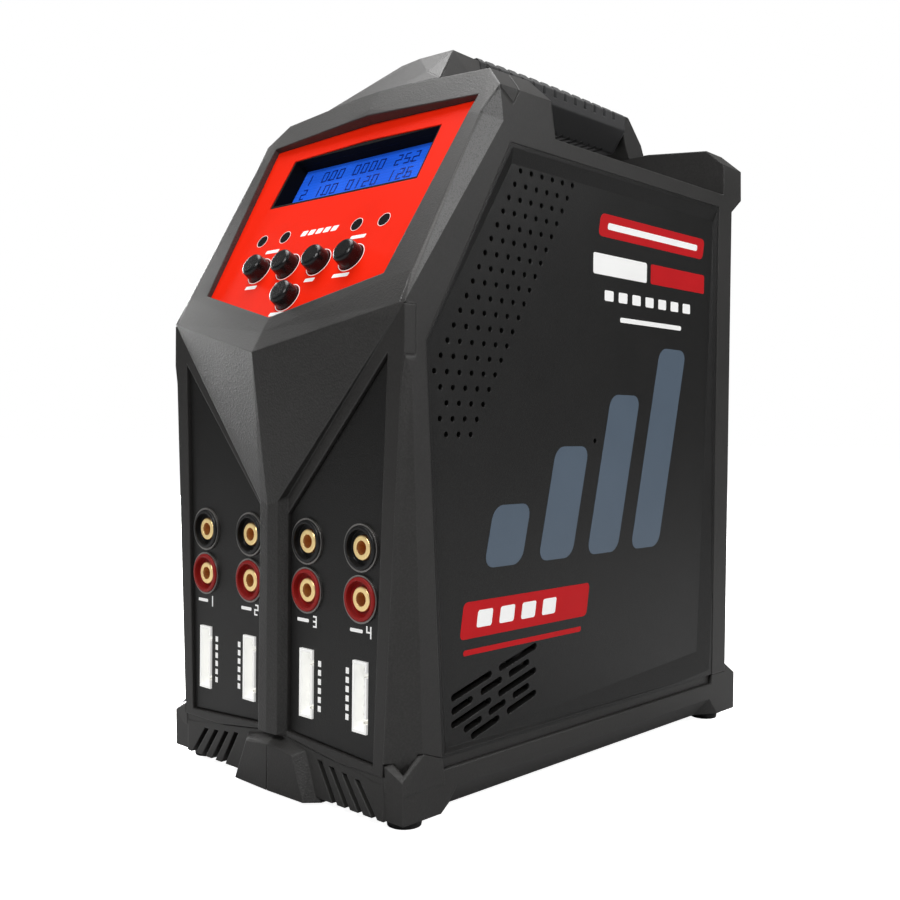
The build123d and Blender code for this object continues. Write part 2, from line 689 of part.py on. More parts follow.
with BuildPart() as handle_grip:
    with BuildSketch(front_plane(GRIP_Y0)):
        with BuildLine():
            Polyline(*GRIP_SECTION, close=True)
        make_face()
        fillet(vertices(), 1.2)
    extrude(amount=-(GRIP_Y1 - GRIP_Y0))
    with BuildSketch(front_plane(60)):
        with Locations(BAR_CENTRE):
            RectangleRounded(*BAR_SIZE)
    extrude(amount=-120, mode=Mode.SUBTRACT)
    with BuildSketch(side_plane(-GRIP_CUT_X)):
        add(above_grip)
    extrude(amount=2 * GRIP_CUT_X, mode=Mode.SUBTRACT)
    # grooves between the ribs, across the top and the shoulders of the grip
    for k in range(GROOVE_COUNT):
        y = GRIP_Y0 + 4.0 + k * GROOVE_PITCH
        with BuildSketch(side_plane(-GRIP_CUT_X)):
            with BuildLine():
                Polyline((y - 2.3, 234.0), (y - 0.5, 230.9), (y + 0.5, 230.9), (y + 1.9, 234.0),
                         close=True)
            make_face()
        extrude(amount=2 * GRIP_CUT_X, mode=Mode.SUBTRACT)
        for side in (1, -1):
            with BuildSketch(level_plane(227.6)):
                with BuildLine():
                    Polyline((side * 14.0, y - 2.2), (side * 11.7, y - 0.4),
                             (side * 11.7, y + 0.4), (side * 14.0, y + 1.8), close=True)
                make_face()
            extrude(amount=12, mode=Mode.SUBTRACT)
    # round finger grooves below
    for k in range(FINGER_COUNT):
        y = GRIP_Y0 + 6.0 + k * FINGER_PITCH
        with BuildSketch(side_plane(-GRIP_CUT_X)):
            with Locations((y, 216.4)):
                Circle(1.0)
        extrude(amount=2 * GRIP_CUT_X, mode=Mode.SUBTRACT)
export(handle_grip, "handle_grip")

# ---------------------------------------------------------------- side shells
# side cover opening and the sunken floor of the cover, (y, z)
COVER_OPENING = [(41.3, 189.6), (6.9, 129.9), (14.8, 15.3), (161.0, 15.3), (161.0, 189.6)]
cover_open = outline(COVER_OPENING)
SIDE_CUT_X = 45       # side cuts start here and run outwards
SIDE_CUT_DEPTH = 15
LIP_X = 53.0          # the lower lip of the shell lies inside this
# material outside the lower lip, (y, z)
lip_cut_outline = outline([
    (-5, 5), (180, 5), (180, 15.3), (15.4, 15.3), (7.6, 18.05), (-5, 18.05)])


def build_facet_cut(side):
    """space in front of the facet beside the tilted panel"""
    return hull(on_side(side, [
        FACET_TOP_IN, FACET_TOP_OUT, FACET_LOW_OUT, FACET_LOW_IN, CHIN_CORNER,
        (52.1, 28.5, 197.0), (52.3, 1.5, 150.0), (54.2, 37.0, 198.0), (56.5, 28.0, 198.0),
        (56.5, 39.0, 198.0), (56.5, 38.0, 194.9), (56.5, 8.7, 145.1), (56.5, -3.0, 139.7)]))


def build_corner_cut(side):
    """space outside the slanted front corner facet, which widens downwards"""
    return hull(on_side(side, [
        (53.0, -1.3, 120.0), (54.3, 2.0, 120.0), (54.3, -1.3, 127.0), (54.3, -1.3, 120.0),
        (47.1, -1.3, 11.0), (54.3, 7.8, 11.0), (54.3, -1.3, 11.0)]))


def build_corner_wall(side, corner_cut):
    """wall that closes the shell behind the slanted corner facet"""
    wall = hull(on_side(side, [
        (53.0, -1.2, 120.0), (54.1, 2.0, 120.0), (50.2, -0.2, 120.0), (51.3, 3.6, 120.0),
        (47.1, -1.2, 12.0), (54.1, 7.8, 12.0), (45.4, 0.9, 12.0), (51.4, 10.4, 12.0)]))
    with BuildPart() as corner_wall:
        add(wall)
        add(body_hull, mode=Mode.INTERSECT)
        add(face_region.part, mode=Mode.SUBTRACT)
        add(corner_cut, mode=Mode.SUBTRACT)
        # clear of the flange of the front insert
        with BuildSketch(front_plane(-5)):
            with BuildLine():
                Polyline((side * 40, 8), (side * 44.6, 12.2), (side * 49.3, 128),
                         (side * 40, 128), close=True)
            make_face()
        extrude(amount=-9.8, mode=Mode.SUBTRACT)
    return corner_wall.part


def build_chin_web(side):
    """small web that closes the shell behind the lower corner of the tilted slab"""
    with BuildPart() as chin_web:
        add(hull_box((side * 51.9, side * HALF_W), (3.0, 8.0), (131.0, CHIN_Z)))
        add(body_hull, mode=Mode.INTERSECT)
        add(hood_low, mode=Mode.SUBTRACT)
        add(face_region.part, mode=Mode.SUBTRACT)
        add(chin_hull, mode=Mode.SUBTRACT)
    return chin_web.part


def build_shell(side):
    corner_cut = build_corner_cut(side)
    corner_wall = build_corner_wall(side, corner_cut)
    chin_web = build_chin_web(side)
    with BuildPart() as shell:
        add(body_hull)
        add(build_facet_cut(side), mode=Mode.SUBTRACT)
        add(hood_low)
        add(hood_top)
        add(rear_hull)
        add(slab_region.part, mode=Mode.SUBTRACT)
        add(face_region.part, mode=Mode.SUBTRACT)
        add(chin_hull, mode=Mode.SUBTRACT)
        add(corner_cut, mode=Mode.SUBTRACT)
        add(inner_body, mode=Mode.SUBTRACT)
        add(inner_head, mode=Mode.SUBTRACT)
        add(inner_rear, mode=Mode.SUBTRACT)
        add(corner_wall)
        add(chin_web)
        add(nose_hull, mode=Mode.SUBTRACT)
        # keep one half
        add(half_space[-side], mode=Mode.SUBTRACT)
        # window for the side cover
        with BuildSketch(side_plane(side * SIDE_CUT_X)):
            add(cover_open)
        extrude(amount=side * SIDE_CUT_DEPTH, mode=Mode.SUBTRACT)
        # front sill belongs to the front frame and the base
        add(hull_box((side * -1, side * 49.3), (-4, 3.05), (8, 15.6)), mode=Mode.SUBTRACT)
        # narrow lower lip that drops into the base
        with BuildSketch(side_plane(side * LIP_X)):
            add(lip_cut_outline)
        extrude(amount=side * 5, mode=Mode.SUBTRACT)
    return shell


# ---------------------------------------------------------------- side covers
cover_fit = outline(COVER_OPENING, -FIT_GAP)
cover_flange = outline(COVER_OPENING, 1.2)
# rim and floor of the shallow recess in the outer face, (y, z)
RECESS_RIM = [(42.0, 189.0), (7.7, 129.9), (15.5, 16.0), (160.3, 16.0), (160.3, 189.0)]
RECESS_FLOOR = [(43.4, 184.0), (9.0, 129.5), (17.9, 17.2), (152.1, 25.0), (159.4, 184.0)]
RECESS_RIM_X, RECESS_FLOOR_X = 54.3, 52.7

# slanting field of round holes, rows from the top down
HOLE_R = 0.85
HOLE_PITCH = 5.08     # along a row
HOLE_ROW_DROP = 4.33
HOLE_TOP_Z = 182.5
HOLE_ROW_START_Y = [47.5 - 2.56 * row for row in range(15)] + [14.15, 16.7, 14.1, 16.65]
HOLE_ROW_COUNT = [6] * 15 + [5, 4, 4, 3]
HOLE_SPOTS = [(start_y + k * HOLE_PITCH, HOLE_TOP_Z - HOLE_ROW_DROP * row)
              for row, (start_y, count) in enumerate(zip(HOLE_ROW_START_Y, HOLE_ROW_COUNT))
              for k in range(count)]

# slots below the holes: (y, z) of the front end, (y, z) of the rear end
SLOT_W = 2.1
SLOTS = [
    ((19.8, 30.5), (37.1, 35.2)), ((40.2, 35.9), (57.8, 40.5)),
    ((20.0, 26.7), (28.9, 29.3)), ((32.2, 30.2), (41.7, 32.8)), ((44.7, 33.5), (54.3, 36.1)),
    ((19.9, 22.9), (36.9, 27.5)), ((40.0, 28.4), (57.6, 33.1)),
    ((25.2, 20.7), (32.9, 22.8)), ((35.8, 23.7), (43.5, 25.8)), ((46.6, 26.7), (54.4, 28.8)),
    ((28.3, 18.2), (40.7, 21.6)), ((44.0, 22.5), (57.8, 26.2)),
]


def build_cover(side):
    with BuildPart() as cover:
        with BuildSketch(side_plane(side * INNER_HALF_W)):
            add(cover_fit)
        extrude(amount=side * 2.25)
        with BuildSketch(side_plane(side * INNER_HALF_W)):
            add(cover_flange)
        extrude(amount=-side * 1.3)
        add(hull([(side * RECESS_RIM_X, y, z) for y, z in RECESS_RIM]
                 + [(side * RECESS_FLOOR_X, y, z) for y, z in RECESS_FLOOR]),
            mode=Mode.SUBTRACT)
        with BuildSketch(side_plane(side * SIDE_CUT_X)):
            with Locations(*HOLE_SPOTS):
                Circle(HOLE_R)
            with Locations((86.7, 102.7)):
                Circle(0.9)
        extrude(amount=side * SIDE_CUT_DEPTH, mode=Mode.SUBTRACT)
        for (y0, z0), (y1, z1) in SLOTS:
            middle = ((y0 + y1) / 2, (z0 + z1) / 2, 0)
            angle = math.degrees(math.atan2(z1 - z0, y1 - y0))
            with BuildSketch(side_plane(side * SIDE_CUT_X)):
                with Locations(Location(middle, (0, 0, angle))):
                    SlotOverall(math.hypot(y1 - y0, z1 - z0), SLOT_W)
            extrude(amount=side * SIDE_CUT_DEPTH, mode=Mode.SUBTRACT)
    return cover


for side, side_name in SIDES:
    export(build_shell(side), "shell_" + side_name)
    export(build_cover(side), "side_cover_" + side_name)

# ----------------------------------------------------------------------- base
BLOCK_Z = 8           # underside of the corner blocks, inside the plinth
TRAY_Y = 88.8         # middle of the tray
APRON_X = 46.9
# front apron below the inserts, (x, z)
apron_outline = outline([
    (-APRON_X, -0.4), (APRON_X, -0.4), (APRON_X, 9.7), (43.7, 9.7), (0, 15.2), (-43.7, 9.7),
    (-APRON_X, 9.7)])
# slanting louvre slots: x of the inner edge at the top, at the bottom, z of the top
LOUVRES = ((19.0, 27.2, 10.6), (24.2, 32.8, 9.9), (29.6, 38.4, 9.3), (35.0, 44.2, 8.8))
LOUVRE_LOW_Z = -3
LOUVRE_TOP_W = LOUVRE_LOW_W = 2.2
FOOT_SPOTS = ((46.5, 8.0), (-46.5, 8.0), (46.5, 168.5), (-46.5, 168.5))

with BuildPart() as base:
    # plinth
    add(hull(mirrored([
        (HALF_W, 0, 0), (54.0, -0.4, SILL_Z),
        (HALF_W, BASE_REAR_Y, 0), (HALF_W, BASE_REAR_Y, SILL_Z - 0.01)])))
    for side in (1, -1):
        # front corner block rises to meet the slanted corner facet
        add(hull(on_side(side, [
            (HALF_W, 0, BLOCK_Z), (53.9, -0.4, 11.8), (47.15, -0.9, 15.2),
            (HALF_W, 7.6, 17.9), (53.1, 7.6, 17.9), (HALF_W, 15.0, 15.2),
            (53.1, 15.0, 15.2), (HALF_W, 16.2, BLOCK_Z), (47.15, -0.4, BLOCK_Z),
            (47.15, 1, BLOCK_Z), (53.1, 16.2, BLOCK_Z)])))
        # rear corner block, and the thin side wall in front of it
        add(hull(on_side(side, [
            (HALF_W, 170.6, BLOCK_Z), (HALF_W, 170.6, 18.0), (HALF_W, BASE_REAR_Y, 13.7),
            (HALF_W, BASE_REAR_Y, BLOCK_Z), (48, BASE_REAR_Y, BLOCK_Z),
            (48, BASE_REAR_Y, 13.7), (48, 170.6, 18.0), (48, 170.6, BLOCK_Z)])))
        add(hull([(side * x, y, z) for x in (53.1, HALF_W)
                  for y, z in ((159.8, BLOCK_Z), (161, 15.2), (172, 15.2), (172, BLOCK_Z))]))
    # apron below the inserts and the centre boss
    with BuildSketch(front_plane(-0.4)):
        add(apron_outline)
    extrude(amount=-3.2)
    add(hull(mirrored([
        (16.4, -3.4, -1.9), (20.0, 0.5, -1.9), (10.9, -3.4, 10.6), (14.6, 0.5, 12.6),
        (20.0, 4.0, -1.9), (14.6, 4.0, 12.6)])
        + [(0, -3.9, -1.9), (0, -3.8, 11.8), (0, 0, 14.9), (0, 4.0, 14.9)]))
    # undercut skirt along both sides
    for side in (1, -1):
        add(hull(on_side(side, [
            (54.3, 20.8, 6.6), (54.3, 159.4, 6.6), (54.3, 14.4, -0.1), (54.3, 165.4, -0.1),
            (49.2, 23.2, -0.1), (49.2, 156.4, -0.1)])), mode=Mode.SUBTRACT)
    # keep clear of shells, covers and front frame
    add(hull(mirrored([
        (53.05, 1.0, SILL_Z), (53.05, REAR_Y + 0.05, SILL_Z),
        (53.05, 1.0, 40), (53.05, REAR_Y + 0.05, 40)])), mode=Mode.SUBTRACT)
    for side in (1, -1):
        add(hull([(side * x, y, z) for z in (SILL_Z, 40)
                  for x, y in ((47.05, -1.4), (53.05, 6.2), (53.05, 20), (40, 20), (40, -1.4))]),
            mode=Mode.SUBTRACT)
    # hollow tray, with a shallow recess underneath
    with BuildSketch(level_plane(3.0)):
        with Locations((0, TRAY_Y)):
            Rectangle(92, 168)
    extrude(amount=30, mode=Mode.SUBTRACT)
    with BuildSketch(level_plane(-5)):
        with Locations((0, TRAY_Y)):
            Rectangle(78, 150)
    extrude(amount=5.6, mode=Mode.SUBTRACT)
    # louvre slots in the apron, open at the bottom
    for side in (1, -1):
        for top_x, low_x, top_z in LOUVRES:
            with BuildSketch(front_plane(-3)):
                with BuildLine():
                    Polyline((side * top_x, top_z), (side * (top_x + LOUVRE_TOP_W), top_z),
                             (side * (low_x + 0.2 + LOUVRE_LOW_W), LOUVRE_LOW_Z),
                             (side * (low_x + 0.2), LOUVRE_LOW_Z), close=True)
                make_face()
            extrude(amount=-9, mode=Mode.SUBTRACT)
    # centre moulding line on the boss
    with BuildSketch(front_plane(-6)):
        with Locations((0, 4.5)):
            Rectangle(0.5, 14)
    extrude(amount=-2.6, mode=Mode.SUBTRACT)
export(base, "base")

with BuildPart() as feet:
    with BuildSketch(level_plane(0)):
        with Locations(*FOOT_SPOTS):
            Circle(5.2)
    extrude(amount=-FOOT_H, taper=8)
export(feet, "feet")

# ----------------------------------------------------------------- rear panel
REAR_CONN_Z = 34.0    # row of rear connectors
AC_X, ROCKER_X, DC_X = 26.0, -2.0, -30.0
# the same places on a back plane, whose local x is -x
AC_SPOT = (-AC_X, REAR_CONN_Z)
ROCKER_SPOT = (-ROCKER_X, REAR_CONN_Z)
DC_SPOT = (-DC_X, REAR_CONN_Z)
REAR_Z0, REAR_Z1 = 12.2, 191.8
PANEL_Y0, PANEL_Y1 = 167.9, 169.9   # front and back of the rear panel
FAN_SIZE = 60.0
FAN_Z = (150.0, 84.0)
FAN_HOLE = 25.0       # fan centre to screw hole, across and up
FAN_SCREWS = [(sx * FAN_HOLE, z + sz * FAN_HOLE) for z in FAN_Z for sx in (1, -1) for sz in (1, -1)]
PANEL_SCREWS = [(sx * 46.0, z) for sx in (1, -1) for z in (22.0, 184.0)]

with BuildPart() as rear_panel:
    with BuildSketch(back_plane(PANEL_Y0)):
        with Locations((0, (REAR_Z0 + REAR_Z1) / 2)):
            Rectangle(2 * INNER_HALF_W - 0.2, REAR_Z1 - REAR_Z0)
        with Locations(*[(0, z) for z in FAN_Z]):
            Circle(28.5, mode=Mode.SUBTRACT)
        with Locations(AC_SPOT):
            RectangleRounded(27.6, 20.4, 1.5, mode=Mode.SUBTRACT)
        with Locations(ROCKER_SPOT):
            Rectangle(13.2, 19.4, mode=Mode.SUBTRACT)
        with Locations(DC_SPOT):
            RectangleRounded(16.4, 8.4, 1.5, mode=Mode.SUBTRACT)
        with Locations(*[(-x, z) for x, z in FAN_SCREWS + PANEL_SCREWS]):
            Circle(1.7, mode=Mode.SUBTRACT)
    extrude(amount=PANEL_Y1 - PANEL_Y0)
export(rear_panel, "rear_panel")

# ----------------------------------------------------------------------- fans
FAN_Y = 152.9         # front of the fan frame
FAN_DEPTH = 15.0
MOTOR_SEAT_T = 1.6
STRUT_R = 20.5        # fan centre to the middle of a strut
ROTOR_Y = 155.4
BLADE_Y = 161.2       # middle of the blades
BLADE_COUNT = 7

# one blade, swept at an angle and trimmed to the hub and the fan bore
blade = Pos(19.6, 0, 0) * Rot(36, 0, 0) * Box(15.4, 1.3, 12.0)
blade = (blade & (Cylinder(27.4, 40) - Cylinder(11.8, 40))).solids()[0]


def build_fan_frame(fan_z):
    with BuildPart() as fan_frame:
        with BuildSketch(back_plane(FAN_Y)):
            with Locations((0, fan_z)):
                RectangleRounded(FAN_SIZE, FAN_SIZE, 3)
                Circle(28.4, mode=Mode.SUBTRACT)
            with Locations(*[(sx * FAN_HOLE, fan_z + sz * FAN_HOLE)
                             for sx in (1, -1) for sz in (1, -1)]):
                Circle(2.1, mode=Mode.SUBTRACT)
        extrude(amount=FAN_DEPTH)
        # waist between the two flanges
        with BuildSketch(back_plane(FAN_Y + 3.5)):
            with Locations((0, fan_z)):
                Rectangle(FAN_SIZE + 2, FAN_SIZE + 2)
                Circle(30.0, mode=Mode.SUBTRACT)
        extrude(amount=8.0, mode=Mode.SUBTRACT)
        # motor seat on three struts
        with BuildSketch(back_plane(FAN_Y)):
            with Locations((0, fan_z)):
                Circle(13.0)
            for angle in (20, 140, 260):
                strut_x = STRUT_R * math.cos(math.radians(angle))
                strut_z = fan_z + STRUT_R * math.sin(math.radians(angle))
                with Locations(Location((strut_x, strut_z, 0), (0, 0, angle))):
                    Rectangle(17.0, 2.6)
        extrude(amount=MOTOR_SEAT_T)
        with BuildSketch(back_plane(FAN_Y + MOTOR_SEAT_T)):
            with Locations((0, fan_z)):
                Circle(3.0)
        extrude(amount=8.0)
    return fan_frame


def build_fan_rotor(fan_z):
    with BuildPart() as fan_rotor:
        with BuildSketch(back_plane(ROTOR_Y)):
            with Locations((0, fan_z)):
                Circle(12.6)
        extrude(amount=11.6)
        fillet(fan_rotor.faces().sort_by(Axis.Y)[-1].edges(), 0.8)
        with BuildSketch(back_plane(ROTOR_Y)):
            with Locations((0, fan_z)):
                Circle(3.4)
        extrude(amount=8.4, mode=Mode.SUBTRACT)
        for k in range(BLADE_COUNT):
            angle = k * 360 / BLADE_COUNT
            add((back_plane(BLADE_Y) * Pos(0, fan_z, 0) * Rot(0, 0, angle)) * blade)
    return fan_rotor


for i, fan_z in enumerate(FAN_Z):
    export(build_fan_frame(fan_z), "fan_frame_%d" % (i + 1))
    export(build_fan_rotor(fan_z), "fan_rotor_%d" % (i + 1))

# ----------------------------------------------------------------- fan guards
DIAGONALS = (45, 135, 225, 315)
EYE_R = 35.35         # fan centre to a screw eye
EYE_BORE_R = 1.75
WIRE = 1.5            # thickness of the guard wires
GUARD_RING_R = (26.5, 20.5, 14.5, 8.5)
SPOKE_Y = PANEL_Y1 + 1.25


def diagonal_spot(radius, angle, fan_z):
    """place around a fan on a back plane"""
    return (-radius * math.cos(math.radians(angle)),
            fan_z + radius * math.sin(math.radians(angle)))


with BuildPart() as fan_guards:
    for fan_z in FAN_Z:
        eye_spots = [diagonal_spot(EYE_R, angle, fan_z) for angle in DIAGONALS]
        # four flat-sided wire rings with four straight wires across them
        with BuildSketch(back_plane(PANEL_Y1 + 0.05)):
            with Locations((0, fan_z)):
                for ring_r in GUARD_RING_R:
                    Circle(ring_r + WIRE / 2)
                    Circle(ring_r - WIRE / 2, mode=Mode.SUBTRACT)
        extrude(amount=WIRE)
        with BuildSketch(back_plane(SPOKE_Y)):
            for angle in DIAGONALS:
                spoke_x, spoke_z = diagonal_spot(20.0, angle, fan_z)
                with Locations(Location((spoke_x, spoke_z, 0), (0, 0, 180 - angle))):
                    Rectangle(25.4, WIRE)
            for spot in eye_spots:
                with Locations(spot):
                    Circle(3.3)
            for spot in eye_spots:
                with Locations(spot):
                    Circle(EYE_BORE_R, mode=Mode.SUBTRACT)
        extrude(amount=WIRE)
        # spacers between the eyes and the rear panel
        for spot in eye_spots:
            with BuildSketch(back_plane(PANEL_Y1)):
                with Locations(spot):
                    Circle(2.9)
                    Circle(EYE_BORE_R, mode=Mode.SUBTRACT)
            extrude(amount=SPOKE_Y - PANEL_Y1)
export(fan_guards, "fan_guards")

# screw groups: places (x, z), y under the head, y of the tip
SCREW_GROUPS = ((FAN_SCREWS, SPOKE_Y + WIRE, 155.0), (PANEL_SCREWS, PANEL_Y1, 160.0))
with BuildPart() as rear_screws:
    for spots, seat_y, tip_y in SCREW_GROUPS:
        with BuildSketch(back_plane(seat_y)):
            with Locations(*[(-x, z) for x, z in spots]):
                Circle(3.0)
        extrude(amount=1.8, taper=12)
        with BuildSketch(back_plane(tip_y)):
            with Locations(*[(-x, z) for x, z in spots]):
                Circle(1.5)
        extrude(amount=seat_y - tip_y)
        # cross recess
        for x, z in spots:
            with BuildSketch(back_plane(seat_y + 0.8)):
                with Locations((-x, z)):
                    Rectangle(3.4, 0.8)
                    Rectangle(0.8, 3.4)
            extrude(amount=3, mode=Mode.SUBTRACT)
export(rear_screws, "rear_screws")

# -------------------------------------------------------------------- AC inlet
AC_BODY_Y = 150.0     # front end of the inlet body
AC_PIN_OFFSETS = ((-7, -2.0), (0, 2.0), (7, -2.0))   # local x, z from the inlet centre
# cavity corners from the inlet centre, local x and z
AC_CAVITY = [(-12.1, -8.1), (12.1, -8.1), (12.1, 3.6), (7.6, 8.1), (-7.6, 8.1), (-12.1, 3.6)]

with BuildPart() as ac_inlet:
    with BuildSketch(back_plane(PANEL_Y1)):
        with Locations(AC_SPOT):
            RectangleRounded(31.0, 24.4, 2.5)
    extrude(amount=2.4)
    with BuildSketch(back_plane(AC_BODY_Y)):
        with Locations(AC_SPOT):
            RectangleRounded(27.4, 20.2, 1.4)
    extrude(amount=PANEL_Y1 - AC_BODY_Y)
    with BuildSketch(back_plane(PANEL_Y1 + 3)):
        with Locations(AC_SPOT):
            with BuildLine():
                Polyline(*[(x - AC_X, REAR_CONN_Z + z) for x, z in AC_CAVITY], close=True)
            make_face()
    extrude(amount=-18.4, mode=Mode.SUBTRACT)
    for dx, dz in AC_PIN_OFFSETS:
        with BuildSketch(back_plane(140)):
            with Locations((-AC_X + dx, REAR_CONN_Z + dz)):
                Rectangle(2.2, 4.2)
        extrude(amount=20, mode=Mode.SUBTRACT)
export(ac_inlet, "ac_inlet")

with BuildPart() as ac_pins:
    for dx, dz in AC_PIN_OFFSETS:
        with BuildSketch(back_plane(144)):
            with Locations((-AC_X + dx, REAR_CONN_Z + dz)):
                Rectangle(2.0, 4.0)
        # the middle pin is longer
        extrude(amount=24.0 if dx else 25.5)
export(ac_pins, "ac_pins")

# --------------------------------------------------------------- power switch
ROCKER_BODY_Y = 154.0
TERMINAL_L = 7.0
ROCKER_Y = 166.6      # pivot line of the rocker
ROCKER_TILT = 9.0
ROCKER_W = 10.0
DISH_W = 12.0

with BuildPart() as rocker_housing:
    with BuildSketch(back_plane(PANEL_Y1)):
        with Locations(ROCKER_SPOT):
            RectangleRounded(15.0, 21.0, 1.0)
    extrude(amount=2.0)
    with BuildSketch(back_plane(ROCKER_BODY_Y)):
        with Locations(ROCKER_SPOT):
            Rectangle(13.0, 19.2)
    extrude(amount=PANEL_Y1 - ROCKER_BODY_Y)
    with BuildSketch(back_plane(PANEL_Y1 + 3)):
        with Locations(ROCKER_SPOT):
            Rectangle(10.4, 16.6)
    extrude(amount=-14.0, mode=Mode.SUBTRACT)
    # two flat terminals in front of the body
    with BuildSketch(back_plane(ROCKER_BODY_Y - TERMINAL_L)):
        with Locations((-ROCKER_X, REAR_CONN_Z + 5), (-ROCKER_X, REAR_CONN_Z - 5)):
            Rectangle(6.3, 0.8)
    extrude(amount=TERMINAL_L)
export(rocker_housing, "rocker_housing")

with BuildPart() as upright_rocker:
    with BuildSketch(Plane(origin=at(ROCKER_X - ROCKER_W / 2, ROCKER_Y, REAR_CONN_Z),
                           x_dir=(0, 1, 0), z_dir=(1, 0, 0))):
        Circle(7.9)
        with Locations((9.6, 0)):
            Rectangle(8.0, 20.0, mode=Mode.SUBTRACT)
        with Locations((-7.4, 0)):
            Rectangle(8.0, 20.0, mode=Mode.SUBTRACT)
    extrude(amount=ROCKER_W)
    # shallow dish on the face
    with BuildSketch(Plane(origin=at(ROCKER_X - DISH_W / 2, ROCKER_Y + 15.0, REAR_CONN_Z),
                           x_dir=(0, 1, 0), z_dir=(1, 0, 0))):
        Circle(10.4)
    extrude(amount=DISH_W, mode=Mode.SUBTRACT)
pivot = Axis(at(ROCKER_X, ROCKER_Y, REAR_CONN_Z), (1, 0, 0))
tilted_rocker = upright_rocker.part.rotate(pivot, -ROCKER_TILT)
with BuildPart() as power_rocker:
    add(tilted_rocker)
export(power_rocker, "power_rocker")

# ------------------------------------------------------------------ DC socket
DC_BODY_Y = 156.0
DC_BACK_Y = PANEL_Y1 + 5.0
DC_CONTACT_R = 2.6
DC_CONTACT_SPOTS = ((-DC_X - 3.6, REAR_CONN_Z), (-DC_X + 3.6, REAR_CONN_Z))

with BuildPart() as dc_socket:
    with BuildSketch(back_plane(PANEL_Y1)):
        with Locations(DC_SPOT):
            RectangleRounded(24.0, 13.0, 2.0)
    extrude(amount=1.6)
    with BuildSketch(back_plane(DC_BODY_Y)):
        with Locations(DC_SPOT):
            RectangleRounded(16.2, 8.2, 1.4)
    extrude(amount=DC_BACK_Y - DC_BODY_Y)
    with BuildSketch(back_plane(150.0)):
        with Locations(*DC_CONTACT_SPOTS):
            Circle(DC_CONTACT_R)
    extrude(amount=30.0, mode=Mode.SUBTRACT)
export(dc_socket, "dc_socket")

with BuildPart() as dc_contacts:
    with BuildSketch(back_plane(153.0)):
        with Locations(*DC_CONTACT_SPOTS):
            Circle(DC_CONTACT_R)
    extrude(amount=21.0)
    with BuildSketch(back_plane(DC_BACK_Y)):
        with Locations(*DC_CONTACT_SPOTS):
            Circle(1.75)
    extrude(amount=-12.0, mode=Mode.SUBTRACT)
export(dc_contacts, "dc_contacts")

# ---------------------------------------------------------------- power stage
# Upright board across the inside; its parts stand on the +x face.  Spots are (y, z).
POWER_BOARD_X = -22.0
MOUNT_X = POWER_BOARD_X + BOARD_T

with BuildPart() as power_board:
    with BuildSketch(side_plane(POWER_BOARD_X)):
        with Locations((86.0, 96.0)):
            Rectangle(104.0, 120.0)
        with Locations((37, 39), (135, 39), (37, 153), (135, 153)):
            Circle(1.7, mode=Mode.SUBTRACT)
    extrude(amount=BOARD_T)
export(power_board, "power_board")

# L-shaped bracket section, (x, z)
bracket_outline = outline([
    (POWER_BOARD_X - 12.0, 3.0), (POWER_BOARD_X, 3.0), (POWER_BOARD_X, 44.0),
    (POWER_BOARD_X - 1.5, 44.0), (POWER_BOARD_X - 1.5, 4.5), (POWER_BOARD_X - 12.0, 4.5)])
with BuildPart() as board_brackets:
    for y in (46.0, 122.0):
        with BuildSketch(front_plane(y)):
            add(bracket_outline)
        extrude(amount=-10.0)
export(board_brackets, "board_brackets")

COIL_X = MOUNT_X + 3.0
COIL_H = 22.0
with BuildPart() as transformers:
    for z in (70.0, 124.0):
        with BuildSketch(side_plane(MOUNT_X)):
            with Locations((62.0, z)):
                Rectangle(36.0, 42.0)
        extrude(amount=COIL_X - MOUNT_X)
        with BuildSketch(side_plane(COIL_X)):
            with Locations((62.0, z)):
                RectangleRounded(27.0, 30.0, 4.0)
        extrude(amount=COIL_H)
        with BuildSketch(side_plane(COIL_X)):
            with Locations((62.0, z + 17.5), (62.0, z - 17.5)):
                Rectangle(30.0, 7.0)
        extrude(amount=24.0)
        with BuildSketch(side_plane(COIL_X + COIL_H)):
            with Locations((62.0, z)):
                Rectangle(30.0, 42.0)
        extrude(amount=4.0)
export(transformers, "transformers")

SINK_BASE_T = 4.0
SINK_H = 96.0
SINK_Z = 97.0
with BuildPart() as heatsink:
    with BuildSketch(side_plane(MOUNT_X)):
        with Locations((104.0, SINK_Z)):
            Rectangle(30.0, SINK_H)
    extrude(amount=SINK_BASE_T)
    with BuildSketch(side_plane(MOUNT_X + SINK_BASE_T)):
        with Locations(*[(91.0 + 5.2 * k, SINK_Z) for k in range(6)]):
            Rectangle(1.6, SINK_H)
    extrude(amount=22.0)
export(heatsink, "heatsink")

with BuildPart() as capacitors:
    for z in (62.0, 84.0, 106.0, 128.0):
        with BuildSketch(side_plane(MOUNT_X)):
            with Locations((128.0, z)):
                Circle(8.0)
        extrude(amount=26.0)
    fillet(capacitors.faces().filter_by(Axis.X).sort_by(Axis.X)[-4:].edges(), 1.0)
export(capacitors, "capacitors")
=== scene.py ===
import json
import math

import bmesh
import bpy
from mathutils import Matrix, Vector
from mathutils.bvhtree import BVHTree


